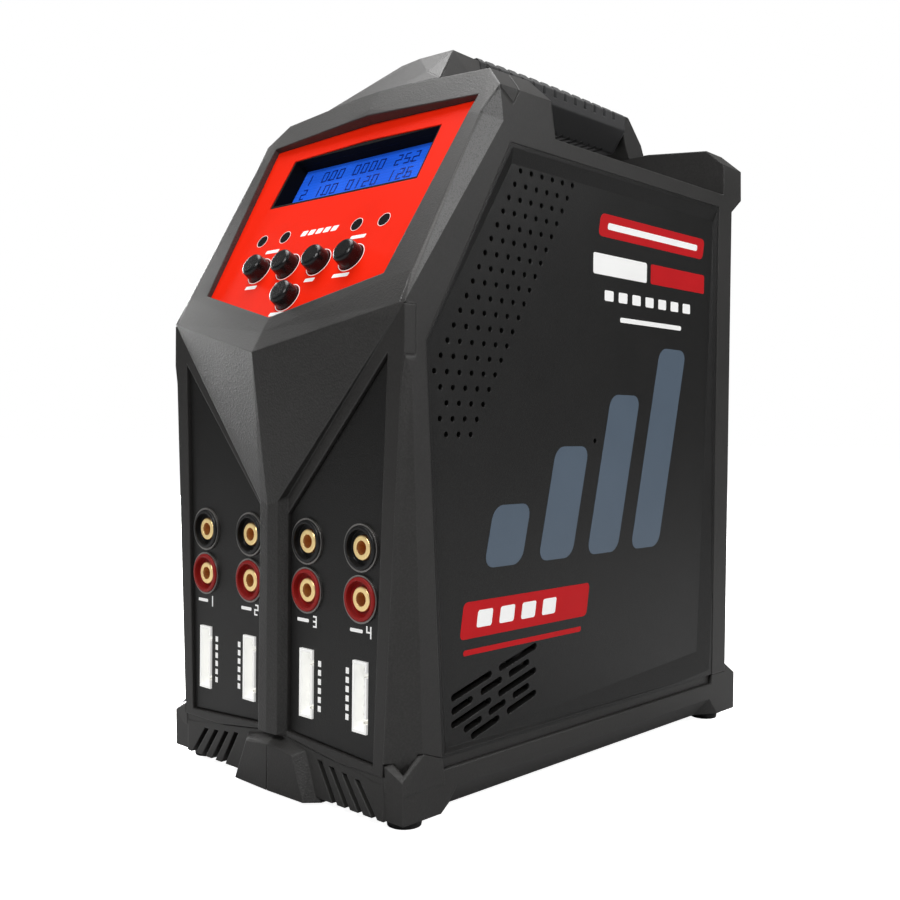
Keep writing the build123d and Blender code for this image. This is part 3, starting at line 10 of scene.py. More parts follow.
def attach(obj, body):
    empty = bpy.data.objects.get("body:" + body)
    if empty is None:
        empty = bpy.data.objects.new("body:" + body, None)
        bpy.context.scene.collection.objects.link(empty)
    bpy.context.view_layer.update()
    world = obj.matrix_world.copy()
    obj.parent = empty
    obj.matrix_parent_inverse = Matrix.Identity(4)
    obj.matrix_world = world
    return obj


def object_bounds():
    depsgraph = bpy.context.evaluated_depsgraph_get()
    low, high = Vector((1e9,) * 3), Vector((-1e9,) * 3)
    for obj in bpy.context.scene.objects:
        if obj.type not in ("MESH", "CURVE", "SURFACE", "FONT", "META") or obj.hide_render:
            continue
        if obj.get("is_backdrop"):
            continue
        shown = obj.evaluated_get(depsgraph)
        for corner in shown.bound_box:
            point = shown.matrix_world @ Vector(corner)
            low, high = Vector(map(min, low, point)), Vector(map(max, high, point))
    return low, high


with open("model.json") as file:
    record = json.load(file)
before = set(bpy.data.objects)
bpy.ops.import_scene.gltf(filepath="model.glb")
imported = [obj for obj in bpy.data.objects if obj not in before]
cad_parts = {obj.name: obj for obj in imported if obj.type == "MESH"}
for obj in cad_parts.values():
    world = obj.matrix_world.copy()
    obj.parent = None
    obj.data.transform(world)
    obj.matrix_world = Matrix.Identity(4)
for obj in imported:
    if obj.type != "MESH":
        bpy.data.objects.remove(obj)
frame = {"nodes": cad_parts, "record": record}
BOUNDS_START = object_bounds()
nodes = frame["nodes"]

# ------------------------------------------------------------ frame of the part
MM = 1000.0                         # millimetres in a metre
MIDDLE_Y = 83.65
FOOT_HEIGHT = 3.0
PANEL_TILT = math.radians(30.5)     # lean back from upright
PANEL_FOOT_Y, PANEL_FOOT_Z = -2.3, 137.2
DISPLAY_DEPTH = 5.8                 # display face below the panel
PRINT_THICK = 0.05


def at(x, y, z):
    """Drawing millimetres to metres in the part's frame."""
    return Vector((x / MM, (y - MIDDLE_Y) / MM, (z + FOOT_HEIGHT) / MM))


def on_panel(lift=0.0):
    """Placing on the control panel: x across, up the slope, height above it."""
    sine, cosine = math.sin(PANEL_TILT), math.cos(PANEL_TILT)

    def place(x, up, height):
        height += lift
        return at(x, PANEL_FOOT_Y + up * sine - height * cosine,
                  PANEL_FOOT_Z + up * cosine + height * sine)
    return place


def on_insert(x, z, height):
    """Placing on the front inserts, which face -Y."""
    return at(x, -height, z)


def on_side(sign, face_x):
    """Placing on a side cover: sign 1 is the right side, -1 the left."""
    return lambda y, z, height: at(sign * (face_x + height), y, z)


# ------------------------------------------------------------ shader graph
def grey(value):
    return (value, value, value)


def shade(colour, factor, lift=0.0):
    """Colour times factor plus lift, held at 1."""
    return tuple(min(1.0, c * factor + lift) for c in colour)


def feed(tree, socket, value):
    """Link a socket, or set a plain value; colours get full alpha."""
    if isinstance(value, bpy.types.NodeSocket):
        tree.links.new(value, socket)
    elif socket.type == "RGBA":
        socket.default_value = (*value[:3], 1.0)
    else:
        socket.default_value = value


class Graph:
    """A new material with one principled surface and object coordinates."""

    def __init__(self, name):
        self.material = bpy.data.materials.new(name)
        self.material.use_nodes = True
        self.tree = self.material.node_tree
        self.tree.nodes.clear()
        output = self.node("ShaderNodeOutputMaterial")
        self.principled = self.node("ShaderNodeBsdfPrincipled")
        self.position = self.node("ShaderNodeTexCoord").outputs["Object"]
        self.tree.links.new(self.principled.outputs["BSDF"], output.inputs["Surface"])

    def node(self, kind, inputs=None, **settings):
        node = self.tree.nodes.new(kind)
        for key, value in settings.items():
            setattr(node, key, value)
        for key, value in (inputs or {}).items():
            feed(self.tree, node.inputs[key], value)
        return node

    def surface(self, inputs):
        for key, value in inputs.items():
            feed(self.tree, self.principled.inputs[key], value)

    def glow(self, colour, strength):
        self.surface({"Emission Color": colour, "Emission Strength": strength})

    def math(self, operation, a, b=None, clamp=False):
        inputs = {0: a} if b is None else {0: a, 1: b}
        return self.node("ShaderNodeMath", inputs, operation=operation,
                         use_clamp=clamp).outputs[0]

    def add(self, a, b, clamp=False):
        return self.math("ADD", a, b, clamp)

    def subtract(self, a, b, clamp=False):
        return self.math("SUBTRACT", a, b, clamp)

    def multiply(self, a, b, clamp=False):
        return self.math("MULTIPLY", a, b, clamp)

    def mix(self, factor, a, b, mode="MIX"):
        return self.node("ShaderNodeMix", {0: factor, 6: a, 7: b},
                         data_type="RGBA", blend_type=mode).outputs[2]

    def ramp(self, factor, start, end):
        """Two-stop ramp; each stop is (position, colour)."""
        node = self.node("ShaderNodeValToRGB", {"Fac": factor})
        for element, (position, colour) in zip(node.color_ramp.elements, (start, end)):
            element.position = position
            element.color = (*colour, 1.0)
        return node.outputs["Color"]

    def noise(self, scale, detail, roughness=0.5, vector=None):
        return self.node("ShaderNodeTexNoise", {
            "Vector": vector or self.position, "Scale": scale, "Detail": detail,
            "Roughness": roughness}).outputs["Fac"]

    def stretched(self, scale, rotation=(0.0, 0.0, 0.0)):
        return self.node("ShaderNodeMapping", {
            "Vector": self.position, "Scale": scale, "Rotation": rotation}).outputs["Vector"]

    def split(self, vector):
        return self.node("ShaderNodeSeparateXYZ", {0: vector}).outputs

    def rounded(self, radius_mm, samples):
        """Normal softened over the edges."""
        return self.node("ShaderNodeBevel", {"Radius": radius_mm / MM},
                         samples=samples).outputs["Normal"]

    def bump(self, height, strength, distance, normal=None):
        inputs = {"Strength": strength, "Distance": distance, "Height": height}
        if normal:
            inputs["Normal"] = normal
        self.surface({"Normal": self.node("ShaderNodeBump", inputs).outputs["Normal"]})

    def done(self, viewport):
        self.material.diffuse_color = (*viewport, 1.0)
        return self.material


# ------------------------------------------------------------ material kinds
def edge_wear_and_highlight(g, rounded, normal, tone):
    """Mask of worn edges, which also paints a highlight along them, broken up by the large
    tone.
    """
    edge_gain = 7.0                     # how fast wear rises as the normal turns
    tone_share, least_wear = 0.9, 0.25  # patchiness of the wear, and its floor
    dot = g.node("ShaderNodeVectorMath", {0: rounded, 1: normal}, operation="DOT_PRODUCT")
    edges = g.multiply(g.subtract(1.0, dot.outputs["Value"]), edge_gain, clamp=True)
    return g.multiply(edges, g.add(g.multiply(tone, tone_share), least_wear), clamp=True)


def slanted_mask(g, axes):
    """Mask of faces turned both sideways and to the front or back."""
    slant_gain = 7.0
    slant = g.multiply(g.math("ABSOLUTE", axes["X"]), g.math("ABSOLUTE", axes["Y"]))
    return g.add(g.multiply(slant, slant_gain, clamp=True), 0.0, clamp=True)


def head_painted_light(g, colour, base, specks, fine, slanted, axes):
    """Painted light: head facets paler than the columns below, as if lit more from above;
    returns colour and speck mask.
    """
    head_z, head_gain = 0.138, 45.0           # metres; where the head begins, how sharply
    head_share, column_share = 1.0, 0.05      # specks on slanted faces
    plain_specks = 0.15                       # specks on every face
    pale, pale_share = shade(base, 5.5), 0.75
    side_from, side_gain = 0.88, 16.0         # how nearly sideways a facet must face
    lit_grit_share = 0.85
    head = g.multiply(g.subtract(g.split(g.position)["Z"], head_z), head_gain, clamp=True)
    amount = g.multiply(slanted, g.add(g.multiply(head, head_share), column_share))
    specks = g.multiply(specks, g.add(amount, plain_specks, clamp=True))
    # painted light: the slanted head facets are paler, as if lit from above
    colour = g.mix(g.multiply(g.multiply(slanted, head), pale_share), colour, pale)
    # painted light over a grit texture, strongest on the long facets beside the panel, which
    # face almost sideways
    beside = g.multiply(g.subtract(g.math("ABSOLUTE", axes["X"]), side_from),
                        side_gain, clamp=True)
    beside = g.multiply(beside, g.multiply(slanted, head))
    lit_grit = g.ramp(fine, start=(0.40, grey(0.07)), end=(0.62, grey(0.24)))
    return g.mix(g.multiply(beside, lit_grit_share), colour, lit_grit), specks


def plastic(name, base, rough=0.5, grain=0.6, grain_size=0.7, mottled=0.12, edge=0.35,
            edge_mm=0.45, spec=0.5, coat=0.0, dust=0.04, scratches=0.0, sheen=0.0,
            speck=0.0, rough_var=0.12, facets=False, glow=0.0):
    """Moulded plastic: eroded grain, uneven tone, edges lightened as wear and painted
    highlight, dust on upward faces.
    """
    dust_colour = (0.5, 0.49, 0.47)
    wear_polish = 0.10                  # roughness lost on worn edges
    pit_depth = 0.6                     # pits against the fine grain
    flat_grain, slanted_grain = 0.3, 0.7
    g = Graph(name)
    normal = g.node("ShaderNodeNewGeometry").outputs["Normal"]
    tone = g.noise(scale=28.0, detail=4.0, roughness=0.6)
    fine = g.noise(scale=1000.0 / grain_size, detail=3.0, roughness=0.65)
    pits = g.node("ShaderNodeTexVoronoi", {
        "Scale": 800.0 / grain_size, "Vector": g.position}).outputs["Distance"]
    rounded = g.rounded(edge_mm, samples=6)
    worn_and_highlit = edge_wear_and_highlight(g, rounded, normal, tone)
    if facets:
        axes = g.split(normal)
        slanted = slanted_mask(g, axes)

    colour = g.ramp(tone, start=(0.3, shade(base, 1 - mottled)),
                    end=(0.7, shade(base, 1 + mottled, mottled * 0.01)))
    if speck > 0:
        specks = g.ramp(fine, start=(0.42, grey(0.0)), end=(0.66, grey(1.0)))
        if facets:
            colour, specks = head_painted_light(g, colour, base, specks, fine, slanted, axes)
        colour = g.mix(specks, colour, shade(base, 1 + 1.6 * speck, 0.03 * speck))
    # edges lightened: part wear, part painted highlight
    colour = g.mix(g.multiply(worn_and_highlit, edge), colour, shade(base, 1.9, 0.02))
    upward = g.multiply(g.split(normal)["Z"], dust, clamp=True)
    colour = g.mix(g.multiply(upward, tone), colour, dust_colour)
    if glow > 0:
        # stands in for light scattered back out of a pale or saturated moulding
        g.glow(colour, glow)

    uneven = g.add(g.multiply(fine, rough_var), g.multiply(tone, rough_var))
    roughness = g.subtract(g.add(uneven, rough - rough_var),
                           g.multiply(worn_and_highlit, wear_polish), clamp=True)
    height = g.add(fine, g.multiply(pits, pit_depth))
    if scratches > 0:
        marks = g.noise(scale=1.0, detail=2.0, vector=g.stretched(
            scale=(60, 900, 60), rotation=(0.4, 0.2, 0.7)))
        height = g.add(height, g.multiply(marks, scratches))
    strength = grain
    if facets:
        # coarse grain only on the slanted facets
        strength = g.multiply(g.add(g.multiply(slanted, slanted_grain), flat_grain), grain)
    g.bump(height, strength=strength, distance=0.00012, normal=rounded)
    g.surface({"Base Color": colour, "Roughness": roughness, "Specular IOR Level": spec,
               "Coat Weight": coat, "Coat Roughness": 0.18, "Sheen Weight": sheen})
    return g.done(base)


def metal(name, base, rough=0.25, brush=(40, 1800, 40), strength=0.25, tarnish_amt=0.15,
          edge_mm=0.25, glow=0.0, bore_shade=None):
    """Plated metal: drawn or turned marks, patchy tone, slight tarnish."""
    tarnish = (0.6, 0.45, 0.3)          # tint of the tarnished patches
    brush_rough, rough_shift = 0.18, -0.06
    g = Graph(name)
    marks = g.noise(scale=1.0, detail=4.0, roughness=0.6, vector=g.stretched(brush))
    patches = g.ramp(g.noise(scale=160.0, detail=4.0),
                     start=(0.45, grey(0.0)), end=(0.75, grey(1.0)))
    colour = g.mix(g.multiply(patches, tarnish_amt), base,
                   tuple(b * t for b, t in zip(base, tarnish)))
    roughness = g.add(g.multiply(marks, brush_rough), rough + rough_shift, clamp=True)
    g.surface({"Base Color": colour, "Metallic": 1.0, "Roughness": roughness})
    if bore_shade:
        # painted shade: the glow turns dark and reddish inside the bores
        open_sky = g.node("ShaderNodeAmbientOcclusion", {"Distance": 0.006}, samples=8)
        bore_shade_mask = g.ramp(open_sky.outputs["AO"], start=(0.42, grey(1.0)), end=(0.80, grey(0.0)))
        colour = g.mix(bore_shade_mask, colour, bore_shade)
    # painted light: an emission lifts the metal's colour
    if glow > 0:
        g.glow(colour, glow)
    g.bump(marks, strength=strength, distance=0.00004, normal=g.rounded(edge_mm, samples=4))
    return g.done(base)


def display(name):
    """Backlit blue display: uneven glow, fine dot grid, glossy cover."""
    g = Graph(name)
    blue = g.ramp(g.noise(scale=30.0, detail=2.0), start=(0.3, (0.010, 0.085, 0.62)),
                  end=(0.7, (0.018, 0.13, 0.80)))
    dots = g.node("ShaderNodeTexVoronoi", {
        "Scale": 1500.0, "Randomness": 0.0, "Vector": g.position}, feature="F1")
    grid = g.ramp(dots.outputs["Distance"], start=(0.35, grey(1.0)), end=(0.62, grey(0.86)))
    colour = g.mix(1.0, blue, grid, mode="MULTIPLY")
    g.glow(colour, 0.42)
    smear, gloss = 0.06, 0.16           # roughness variation and floor
    roughness = g.add(g.multiply(g.noise(scale=400.0, detail=2.0), smear), gloss)
    g.surface({"Base Color": colour, "Roughness": roughness, "Coat Weight": 0.25,
               "Specular IOR Level": 0.3})
    return g.done((0.02, 0.12, 0.8))


def board(name, base):
    """Circuit board: solder mask over a faint copper weave."""
    g = Graph(name)
    weave = g.node("ShaderNodeTexBrick", {
        "Scale": 180.0, "Color1": base, "Color2": shade(base, 1.5),
        "Mortar": shade(base, 0.6), "Vector": g.position})
    rough_var, rough_floor = 0.2, 0.25
    roughness = g.add(g.multiply(g.noise(scale=300.0, detail=3.0), rough_var), rough_floor)
    g.surface({"Base Color": weave.outputs["Color"], "Roughness": roughness})
    g.bump(weave.outputs["Fac"], strength=0.3, distance=0.0001)
    return g.done(base)


def ink(name, base, **look):
    """Printed ink: plastic with plain edges and no dust."""
    plain_ink = dict(grain_size=0.3, mottled=0.05, edge=0.0, edge_mm=0.05, dust=0.0)
    return plastic(name, base, **{**plain_ink, **look})


# ------------------------------------------------------------ materials
# material slot: (kind, its look)
LOOKS = {
    "case_plastic": (plastic, dict(
        base=(0.0158, 0.0150, 0.0142), grain=0.9, grain_size=0.55, edge=0.75, edge_mm=0.7,
        speck=0.9, rough_var=0.14, facets=True)),
    "cover_plastic": (plastic, dict(
        base=(0.0036, 0.0034, 0.0032), rough=0.42, grain=0.35, grain_size=0.35, mottled=0.10,
        edge=0.6, edge_mm=0.35, spec=0.38, speck=0.25, dust=0.02)),
    "panel_red": (plastic, dict(
        base=(0.84, 0.018, 0.003), rough=0.46, grain=0.22, grain_size=0.5, mottled=0.05,
        edge=0.12, edge_mm=0.5, spec=0.05, dust=0.0, glow=0.04)),
    "lcd_frame": (plastic, dict(
        base=(0.0045, 0.0045, 0.0048), rough=0.75, grain=0.3, grain_size=0.4, edge=0.3,
        edge_mm=0.3, spec=0.08)),
    "lcd_blue": (display, {}),
    "led_lens": (plastic, dict(
        base=(0.006, 0.005, 0.005), rough=0.18, grain=0.05, grain_size=0.6, edge=0.1,
        spec=0.6, coat=0.5, dust=0.0)),
    "button_black": (plastic, dict(
        base=(0.006, 0.006, 0.0065), rough=0.25, grain=0.2, grain_size=0.4, edge=0.3,
        edge_mm=0.8, spec=0.35)),
    "rubber_black": (plastic, dict(
        base=(0.017, 0.017, 0.018), rough=0.62, grain=0.55, grain_size=0.45, edge_mm=0.7,
        spec=0.35, sheen=0.15, dust=0.06)),
    "contact_gold": (metal, dict(
        base=(1.0, 0.76, 0.36), rough=0.34, brush=(500, 60, 500), strength=0.2,
        tarnish_amt=0.08, glow=0.22, bore_shade=(0.085, 0.016, 0.005))),
    "pin_metal": (metal, dict(base=(0.78, 0.77, 0.74), rough=0.28)),
    "ring_silver": (metal, dict(
        base=(0.30, 0.29, 0.28), rough=0.40, strength=0.15, edge_mm=0.1)),
    "port_white": (plastic, dict(
        base=(0.86, 0.86, 0.84), rough=0.42, grain=0.25, grain_size=0.5, mottled=0.04,
        edge=0.15, edge_mm=0.3, dust=0.02, glow=0.32)),
    "insulator_black": (plastic, dict(
        base=(0.006, 0.006, 0.0065), rough=0.36, grain=0.12, grain_size=0.5, edge=0.4,
        edge_mm=0.3, spec=0.35)),
    "insulator_red": (plastic, dict(
        base=(0.27, 0.010, 0.009), rough=0.42, grain=0.12, grain_size=0.5, edge=0.2,
        edge_mm=0.3, spec=0.22)),
    "rear_metal": (plastic, dict(
        base=(0.022, 0.022, 0.024), rough=0.48, grain=0.7, grain_size=0.8, edge=0.4,
        edge_mm=0.5, scratches=0.4)),
    "guard_wire": (metal, dict(
        base=(0.72, 0.73, 0.75), rough=0.28, brush=(300, 300, 300), edge_mm=0.55)),
    "screw_steel": (metal, dict(base=(0.36, 0.36, 0.37), rough=0.32, brush=(600, 600, 600))),
    "fan_plastic": (plastic, dict(
        base=(0.014, 0.014, 0.015), rough=0.42, grain=0.35, grain_size=0.6, edge=0.4,
        edge_mm=0.4)),
    "connector_black": (plastic, dict(
        base=(0.016, 0.016, 0.017), rough=0.38, grain=0.3, grain_size=0.5, edge=0.4,
        edge_mm=0.4)),
    "connector_yellow": (plastic, dict(
        base=(0.80, 0.50, 0.03), rough=0.40, grain=0.25, grain_size=0.5, edge=0.2,
        edge_mm=0.4)),
    "rocker_red": (plastic, dict(
        base=(0.45, 0.010, 0.010), rough=0.28, grain=0.10, grain_size=0.5, edge=0.3,
        edge_mm=0.5, coat=0.3)),
    "board_green": (board, dict(base=(0.015, 0.13, 0.055))),
    "heatsink_metal": (metal, dict(base=(0.66, 0.67, 0.69), rough=0.34, brush=(60, 60, 1600))),
    "bracket_metal": (metal, dict(base=(0.62, 0.63, 0.64), rough=0.32)),
    "capacitor_sleeve": (plastic, dict(
        base=(0.02, 0.035, 0.09), rough=0.32, grain=0.1, grain_size=0.8, edge=0.2)),
    "transformer_tape": (plastic, dict(
        base=(0.62, 0.42, 0.05), rough=0.45, grain=0.3, grain_size=1.2, edge=0.2,
        mottled=0.2)),
}
INK_LOOKS = {
    "ink_white": dict(base=(0.80, 0.80, 0.79), rough=0.45, grain=0.25, glow=0.28),
    "ink_black": dict(base=(0.006, 0.006, 0.007), rough=0.20, grain=0.1),
    "ink_red": dict(base=(0.56, 0.008, 0.012), grain=0.25, mottled=0.06, spec=0.15),
    "ink_slate": dict(base=(0.085, 0.120, 0.165), rough=0.42, grain=0.3, grain_size=0.35),
    "ink_segment": dict(base=(0.003, 0.022, 0.24), rough=0.30, grain=0.05),
}


def dress_parts(materials):
    """Give every CAD piece the material of its slot."""
    slot_of = {sub["node"]: sub["material_slot"] for sub in frame["record"]["subparts"]}
    for name, part in nodes.items():
        if not part.material_slots:
            part.data.materials.append(None)
        for slot in part.material_slots:
            slot.link = "OBJECT"
            slot.material = materials[slot_of[name]]


dress_parts({name: make(name, **look) for name, (make, look) in LOOKS.items()})
INKS = {name: ink(name, **look) for name, look in INK_LOOKS.items()}

# ------------------------------------------------------------ prints
# bars of a seven-bar numeral: a top, b and c right, d bottom, e and f left, g middle
DIGIT_BARS = {"0": "abcdef", "1": "bc", "2": "abged", "3": "abgcd", "4": "fgbc",
              "5": "afgcd", "6": "afgedc", "7": "abc", "8": "abcdefg", "9": "abcfgd"}


def circle(x, y, radius, count):
    angles = [math.radians(360.0 * i / count) for i in range(count)]
    return [(x + radius * math.cos(a), y + radius * math.sin(a)) for a in angles]


class Print:
    """Flat printed shapes gathered into one thin mesh."""

    def __init__(self, name, ink_name, slot, place):
        self.name, self.ink_name, self.slot, self.place = name, ink_name, slot, place
        self.bm = bmesh.new()

    def vert(self, x, y, height):
        return self.bm.verts.new(self.place(x, y, height))

    def poly(self, points):
        """A closed outline, turned anticlockwise in print coordinates."""
        pairs = zip(points, points[1:] + points[:1])
        if sum(a[0] * b[1] - b[0] * a[1] for a, b in pairs) < 0:
            points = points[::-1]
        low = [self.vert(x, y, 0.0) for x, y in points]
        top = [self.vert(x, y, PRINT_THICK) for x, y in points]
        self.bm.faces.new(top)
        self.bm.faces.new(low[::-1])
        for i in range(len(points)):
            j = (i + 1) % len(points)
            self.bm.faces.new((low[i], low[j], top[j], top[i]))

    def rect(self, x0, y0, x1, y1):
        self.poly([(x0, y0), (x1, y0), (x1, y1), (x0, y1)])

    def round_rect(self, x0, y0, x1, y1, radius, lean=0.0):
        """Rounded rectangle; lean shifts x for each unit of y."""
        steps = 5
        corners = ((x1 - radius, y0 + radius, -90), (x1 - radius, y1 - radius, 0),
                   (x0 + radius, y1 - radius, 90), (x0 + radius, y0 + radius, 180))
        points = []
        for centre_x, centre_y, start in corners:
            for i in range(steps + 1):
                angle = math.radians(start + 90 * i / steps)
                y = centre_y + radius * math.sin(angle)
                points.append((centre_x + radius * math.cos(angle) + lean * (y - y0), y))
        self.poly(points)

    def ring(self, x, y, inner, outer, count):
        section = ((inner, 0.0), (outer, 0.0), (outer, PRINT_THICK), (inner, PRINT_THICK))
        columns = []
        for i in range(count):
            angle = math.radians(360.0 * i / count)
            cosine, sine = math.cos(angle), math.sin(angle)
            columns.append([self.vert(x + r * cosine, y + r * sine, height)
                            for r, height in section])
        for a, b in zip(columns, columns[1:] + columns[:1]):
            for i in range(4):
                j = (i + 1) % 4
                self.bm.faces.new((a[i], a[j], b[j], b[i]))

    def digit(self, figure, x, y, height, width, stroke):
        """Seven-bar numeral with its lower left corner at (x, y)."""
        gap = 0.002                     # keeps the level bars off the upright ones
        half, middle = stroke / 2, height / 2
        reach = half * 0.98             # uprights run past their ends by this
        level = {"a": height, "d": 0.0, "g": middle}
        upright = {"b": (width, middle), "c": (width, 0.0), "e": (0.0, 0.0),
                   "f": (0.0, middle)}
        if figure == "1":
            x = x - width * 0.5
        for bar in DIGIT_BARS[figure]:
            if bar in level:
                bar_y = y + level[bar]
                self.rect(x + half + gap, bar_y - half, x + width - half - gap, bar_y + half)
            else:
                across, base = upright[bar]
                self.rect(x + across - half, y + base - reach,
                          x + across + half, y + base + middle + reach)

    def done(self):
        bmesh.ops.recalc_face_normals(self.bm, faces=self.bm.faces[:])
        mesh = bpy.data.meshes.new(self.name)
        self.bm.to_mesh(mesh)
        self.bm.free()
        printed = bpy.data.objects.new(self.name, mesh)
        bpy.context.scene.collection.objects.link(printed)
        mesh.materials.append(INKS[self.ink_name])
        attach(printed, "case")


# control panel, (x, up the slope)
BUTTONS = [(-21.6, 21.1), (-7.3, 21.1), (7.4, 21.1), (22.0, 21.1), (0.6, 8.7)]
LAMPS = [(-28.8, 33.9), (-17.0, 33.9), (17.0, 33.9), (28.8, 33.9)]
# caption bars: middle x, middle up the slope, width
CAPTIONS = [(-21.8, 14.6, 5.5), (-7.4, 14.6, 4.4), (6.9, 14.6, 4.4), (20.8, 14.8, 7.0),
            (-0.2, 2.9, 8.5), (-20.2, 28.6, 6.5), (20.3, 28.8, 6.5)]
CAPTION_HALF_HEIGHT = 0.65
CORNER = 0.3                            # corner radius of the small bars


def print_panel():
    """White rings round buttons and lamps, caption bars and a status strip."""
    white = Print("print_panel_white", "ink_white", "port_white", on_panel())
    for x, up in BUTTONS:
        white.ring(x, up, inner=4.75, outer=4.98, count=40)
    for x, up in LAMPS:
        white.ring(x, up, inner=2.25, outer=2.40, count=28)
    for x, up, width in CAPTIONS:
        white.round_rect(x - width / 2, up - CAPTION_HALF_HEIGHT,
                         x + width / 2, up + CAPTION_HALF_HEIGHT, CORNER, lean=0.25)
    strip_x, strip_pitch, strip_width = -9.0, 3.6, 2.6
    for k in range(5):
        x = strip_x + strip_pitch * k
        white.round_rect(x, 33.0, x + strip_width, 35.0, CORNER, lean=0.3)
    white.done()


def print_lamp_windows():
    windows = Print("print_lamp_windows", "ink_black", "insulator_black", on_panel())
    for x, up in LAMPS:
        windows.poly(circle(x, up, radius=2.15, count=30))
    windows.done()


def print_display():
    """Two rows of plain digits."""
    rows = (("1 0.00 0000 25.2", 62.5), ("2 1.00 0120 12.6", 56.3))  # text, up the slope
    row_x, pitch = -30.6, 3.9
    point_left, point_size = 0.9, 0.6   # decimal point, set back into the gap
    text_print = Print("print_display", "ink_segment", "lcd_frame", on_panel(-DISPLAY_DEPTH))
    for text, up in rows:
        x = row_x
        for figure in text:
            if figure == ".":
                left = x - point_left
                text_print.rect(left, up, left + point_size, up + point_size)
                continue
            if figure != " ":
                text_print.digit(figure, x, up, height=3.9, width=2.2, stroke=0.5)
            x += pitch
    text_print.done()


# sockets on the front inserts
OUTER_X, INNER_X = 37.0, 13.8
COLUMN_OFFSET = 5.6                     # bar column from the socket's x
# insert: (digit, socket x, bar column x)
INSERTS = {
    "left": (("1", -OUTER_X, -OUTER_X + COLUMN_OFFSET),
             ("2", -INNER_X, -INNER_X - COLUMN_OFFSET)),
    "right": (("3", INNER_X, INNER_X + COLUMN_OFFSET),
              ("4", OUTER_X, OUTER_X - COLUMN_OFFSET)),
}


def print_insert(side):
    """Digit and dash for each pair of sockets, and a column of short bars."""
    bar_z, bar_pitch, bar_height, bar_half_width = 24.4, 2.6, 1.7, 0.65
    white = Print("print_insert_" + side, "ink_white", "port_white", on_insert)
    for figure, x, column_x in INSERTS[side]:
        white.digit(figure, x + 2.3, 48.6, height=2.9, width=1.6, stroke=0.5)
        white.round_rect(x - 4.6, 49.5, x + 0.6, 50.5, CORNER)
        for k in range(6):
            z = bar_z + bar_pitch * k
            white.rect(column_x - bar_half_width, z, column_x + bar_half_width, z + bar_height)
    white.done()


# side covers; blocks are y0, z0, y1, z1, corner radius and, where slanted, lean
LEVEL_BARS = [(33.0 + 25.0 * k, 66.0, 50.0 + 25.0 * k, 84.0 + 17.0 * k, 4.0, 0.24)
              for k in range(4)]
RED_BLOCKS = [(23.0, 46.5, 83.0, 57.0, 1.6, 0.16), (24.5, 41.8, 80.0, 43.4, 0.6, 0.16),
              (87.0, 169.0, 152.0, 176.5, 2.0, 0.2), (118.0, 156.6, 153.5, 163.4, 0.8)]
WHITE_BARS = [(84.5, 156.6, 115.5, 163.4, 0.8),
              *[(91.0 + 8.0 * k, 148.4, 96.0 + 8.0 * k, 151.8, 0.5) for k in range(7)],
              (100.0, 142.0, 138.0, 143.6, 0.6)]
LABEL_DOTS = [*[(30.0 + 10.0 * k, 49.3, 36.5 + 10.0 * k, 54.2, 0.7, 0.16) for k in range(4)],
              (92.0, 171.6, 148.0, 173.8, 0.8, 0.2)]
# name, ink, slot, lift, blocks; the label dots lie on top of the red blocks
COVER_PRINTS = [
    ("print_level_bars_", "ink_slate", "cover_plastic", 0.0, LEVEL_BARS),
    ("print_red_blocks_", "ink_red", "insulator_red", 0.0, RED_BLOCKS),
    ("print_white_bars_", "ink_white", "port_white", 0.0, WHITE_BARS),
    ("print_label_dots_", "ink_white", "port_white", PRINT_THICK, LABEL_DOTS),
]


def cover_face_x(side, sign):
    """Distance of a cover's outer face from the middle, met by a ray from outside."""
    mesh = nodes["side_cover_" + side].data
    tree = BVHTree.FromPolygons([v.co.copy() for v in mesh.vertices],
                                [tuple(p.vertices) for p in mesh.polygons])
    hit = tree.ray_cast(at(sign * 90, 100, 60), Vector((-sign, 0, 0)))[0]
    return abs(hit.x) * MM


def print_cover(side, sign):
    """Both sides carry the same blocks."""
    face_x = cover_face_x(side, sign)
    for name, ink_name, slot, lift, blocks in COVER_PRINTS:
        layer = Print(name + side, ink_name, slot, on_side(sign, face_x + lift))
        for block in blocks:
            layer.round_rect(*block)
        layer.done()


print_panel()
print_lamp_windows()
print_display()
for insert_side in ("left", "right"):
    print_insert(insert_side)
print_cover("right", 1)
print_cover("left", -1)


# ------------------------------------------------------------ stage, light, camera
def floor_material():
    """White floor, bright to the camera and dimmer to every other ray."""
    g = Graph("floor_white")
    white = g.ramp(g.noise(scale=3.0, detail=3.0),
                   start=(0.3, grey(0.90)), end=(0.7, grey(0.92)))
    seen = g.node("ShaderNodeLightPath").outputs["Is Camera Ray"]
    bounce_grey, seen_glow = grey(0.42), 0.94
    g.surface({"Base Color": g.mix(seen, bounce_grey, white), "Roughness": 0.65})
    g.glow(grey(1.0), g.multiply(seen, seen_glow))
    return g.material


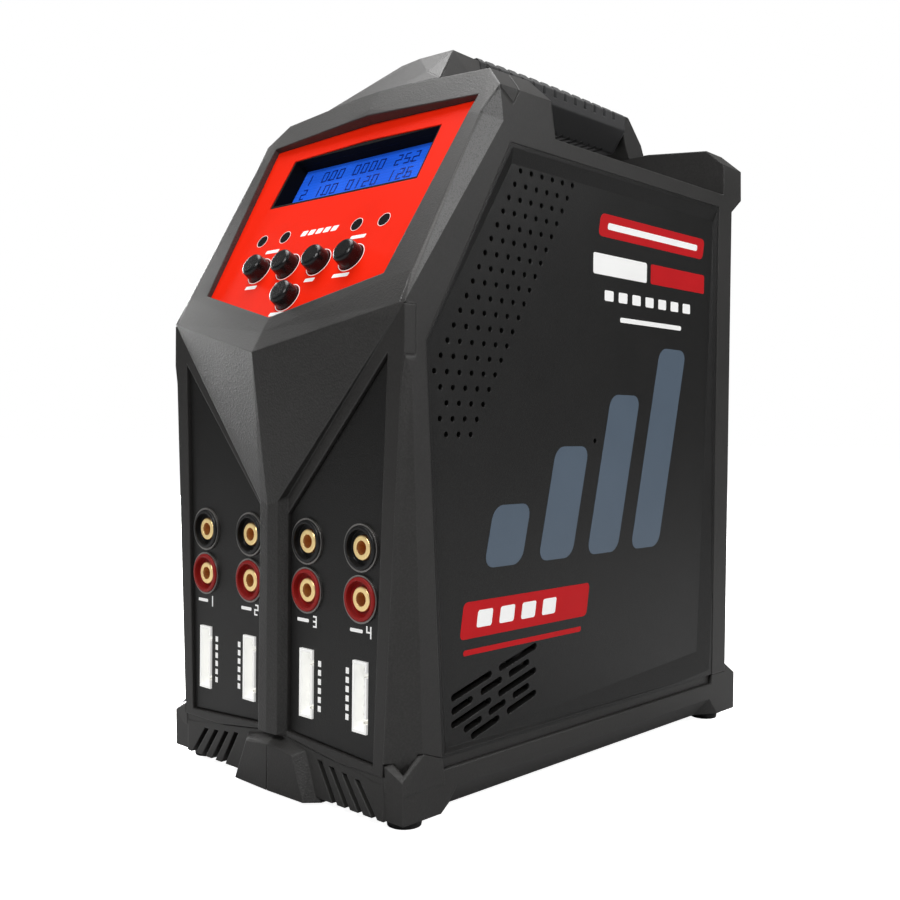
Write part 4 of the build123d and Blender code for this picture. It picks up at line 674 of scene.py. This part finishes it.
def stage_floor():
    lines = (-8.0, -3.0, -1.0, -0.3, 0.3, 1.0, 3.0, 8.0)    # grid lines, metres
    bm = bmesh.new()
    rows = [[bm.verts.new((x, y, 0.0)) for x in lines] for y in lines]
    for near, far in zip(rows, rows[1:]):
        for i in range(len(lines) - 1):
            bm.faces.new((near[i], near[i + 1], far[i + 1], far[i]))
    mesh = bpy.data.meshes.new("floor")
    bm.to_mesh(mesh)
    bm.free()
    floor = bpy.data.objects.new("floor", mesh)
    bpy.context.scene.collection.objects.link(floor)
    floor.rotation_euler = (0, 0, math.radians(43))
    mesh.materials.append(floor_material())
    floor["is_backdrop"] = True


def area_light(name, location, target, width, height, power):
    light = bpy.data.lights.new(name, "AREA")
    light.energy = power
    light.color = (1, 1, 1)
    light.shape = "RECTANGLE"
    light.size = width
    light.size_y = height
    lamp = bpy.data.objects.new(name, light)
    bpy.context.scene.collection.objects.link(lamp)
    lamp.location = location
    aim = Vector(target) - Vector(location)
    lamp.rotation_euler = aim.to_track_quat("-Z", "Y").to_euler()
    lamp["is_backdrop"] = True


def set_world():
    """White behind the part, but only a faint fill light."""
    world = bpy.context.scene.world or bpy.data.worlds.new("World")
    bpy.context.scene.world = world
    world.use_nodes = True
    tree = world.node_tree
    tree.nodes.clear()
    output = tree.nodes.new("ShaderNodeOutputWorld")
    path = tree.nodes.new("ShaderNodeLightPath")
    mix = tree.nodes.new("ShaderNodeMixShader")
    tree.links.new(path.outputs["Is Camera Ray"], mix.inputs[0])
    fill, seen = 0.08, 1.0              # strengths
    for socket, strength in ((1, fill), (2, seen)):
        background = tree.nodes.new("ShaderNodeBackground")
        feed(tree, background.inputs["Color"], grey(1.0))
        background.inputs["Strength"].default_value = strength
        tree.links.new(background.outputs[0], mix.inputs[socket])
    tree.links.new(mix.outputs[0], output.inputs[0])


def set_camera():
    """Camera to the front right, turned left, pitched down and rolled a little."""
    turn, pitch, roll = (math.radians(a) for a in (43.219, 1.092, 0.596))
    forward = Vector((-math.sin(turn) * math.cos(pitch), math.cos(turn) * math.cos(pitch),
                      -math.sin(pitch)))
    level = Vector((math.cos(turn), math.sin(turn), 0.0))
    upright = level.cross(forward)
    right = level * math.cos(roll) + upright * math.sin(roll)
    up = -level * math.sin(roll) + upright * math.cos(roll)
    lens = bpy.data.cameras.new("camera")
    lens.sensor_width = 36.0
    lens.sensor_fit = "HORIZONTAL"
    lens.lens = 43.21972
    lens.clip_start = 0.01
    camera = bpy.data.objects.new("camera", lens)
    bpy.context.scene.collection.objects.link(camera)
    pose = Matrix((right, up, -forward)).transposed().to_4x4()
    pose.translation = at(257.780, -199.978, 105.936)
    camera.matrix_world = pose
    bpy.context.scene.camera = camera


stage_floor()
area_light("soft_left", location=(-1.25, 0.32, 0.34), target=(0, 0, 0.12),
           width=0.85, height=0.8, power=36.0)
area_light("soft_top", location=(-0.25, 0.08, 1.25), target=(0, 0, 0.1),
           width=0.9, height=0.9, power=16.0)
area_light("front_top", location=(0.45, -1.15, 1.10), target=(0, 0, 0.15),
           width=0.4, height=0.4, power=13.0)
area_light("right_back", location=(1.08, 0.47, 0.78), target=(0.05, -0.05, 0.17),
           width=0.42, height=0.42, power=8.5)
set_world()
set_camera()
bpy.context.scene.view_settings.view_transform = "Standard"
bpy.context.scene.view_settings.exposure = 0.0


def plain(bounds):
    """Bounds as plain lists that can be written out."""
    if isinstance(bounds, dict):
        return {key: plain(value) for key, value in bounds.items()}
    return [[float(c) for c in row] for row in bounds]


bounds_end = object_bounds()
{"start": plain(BOUNDS_START), "end": plain(bounds_end)}
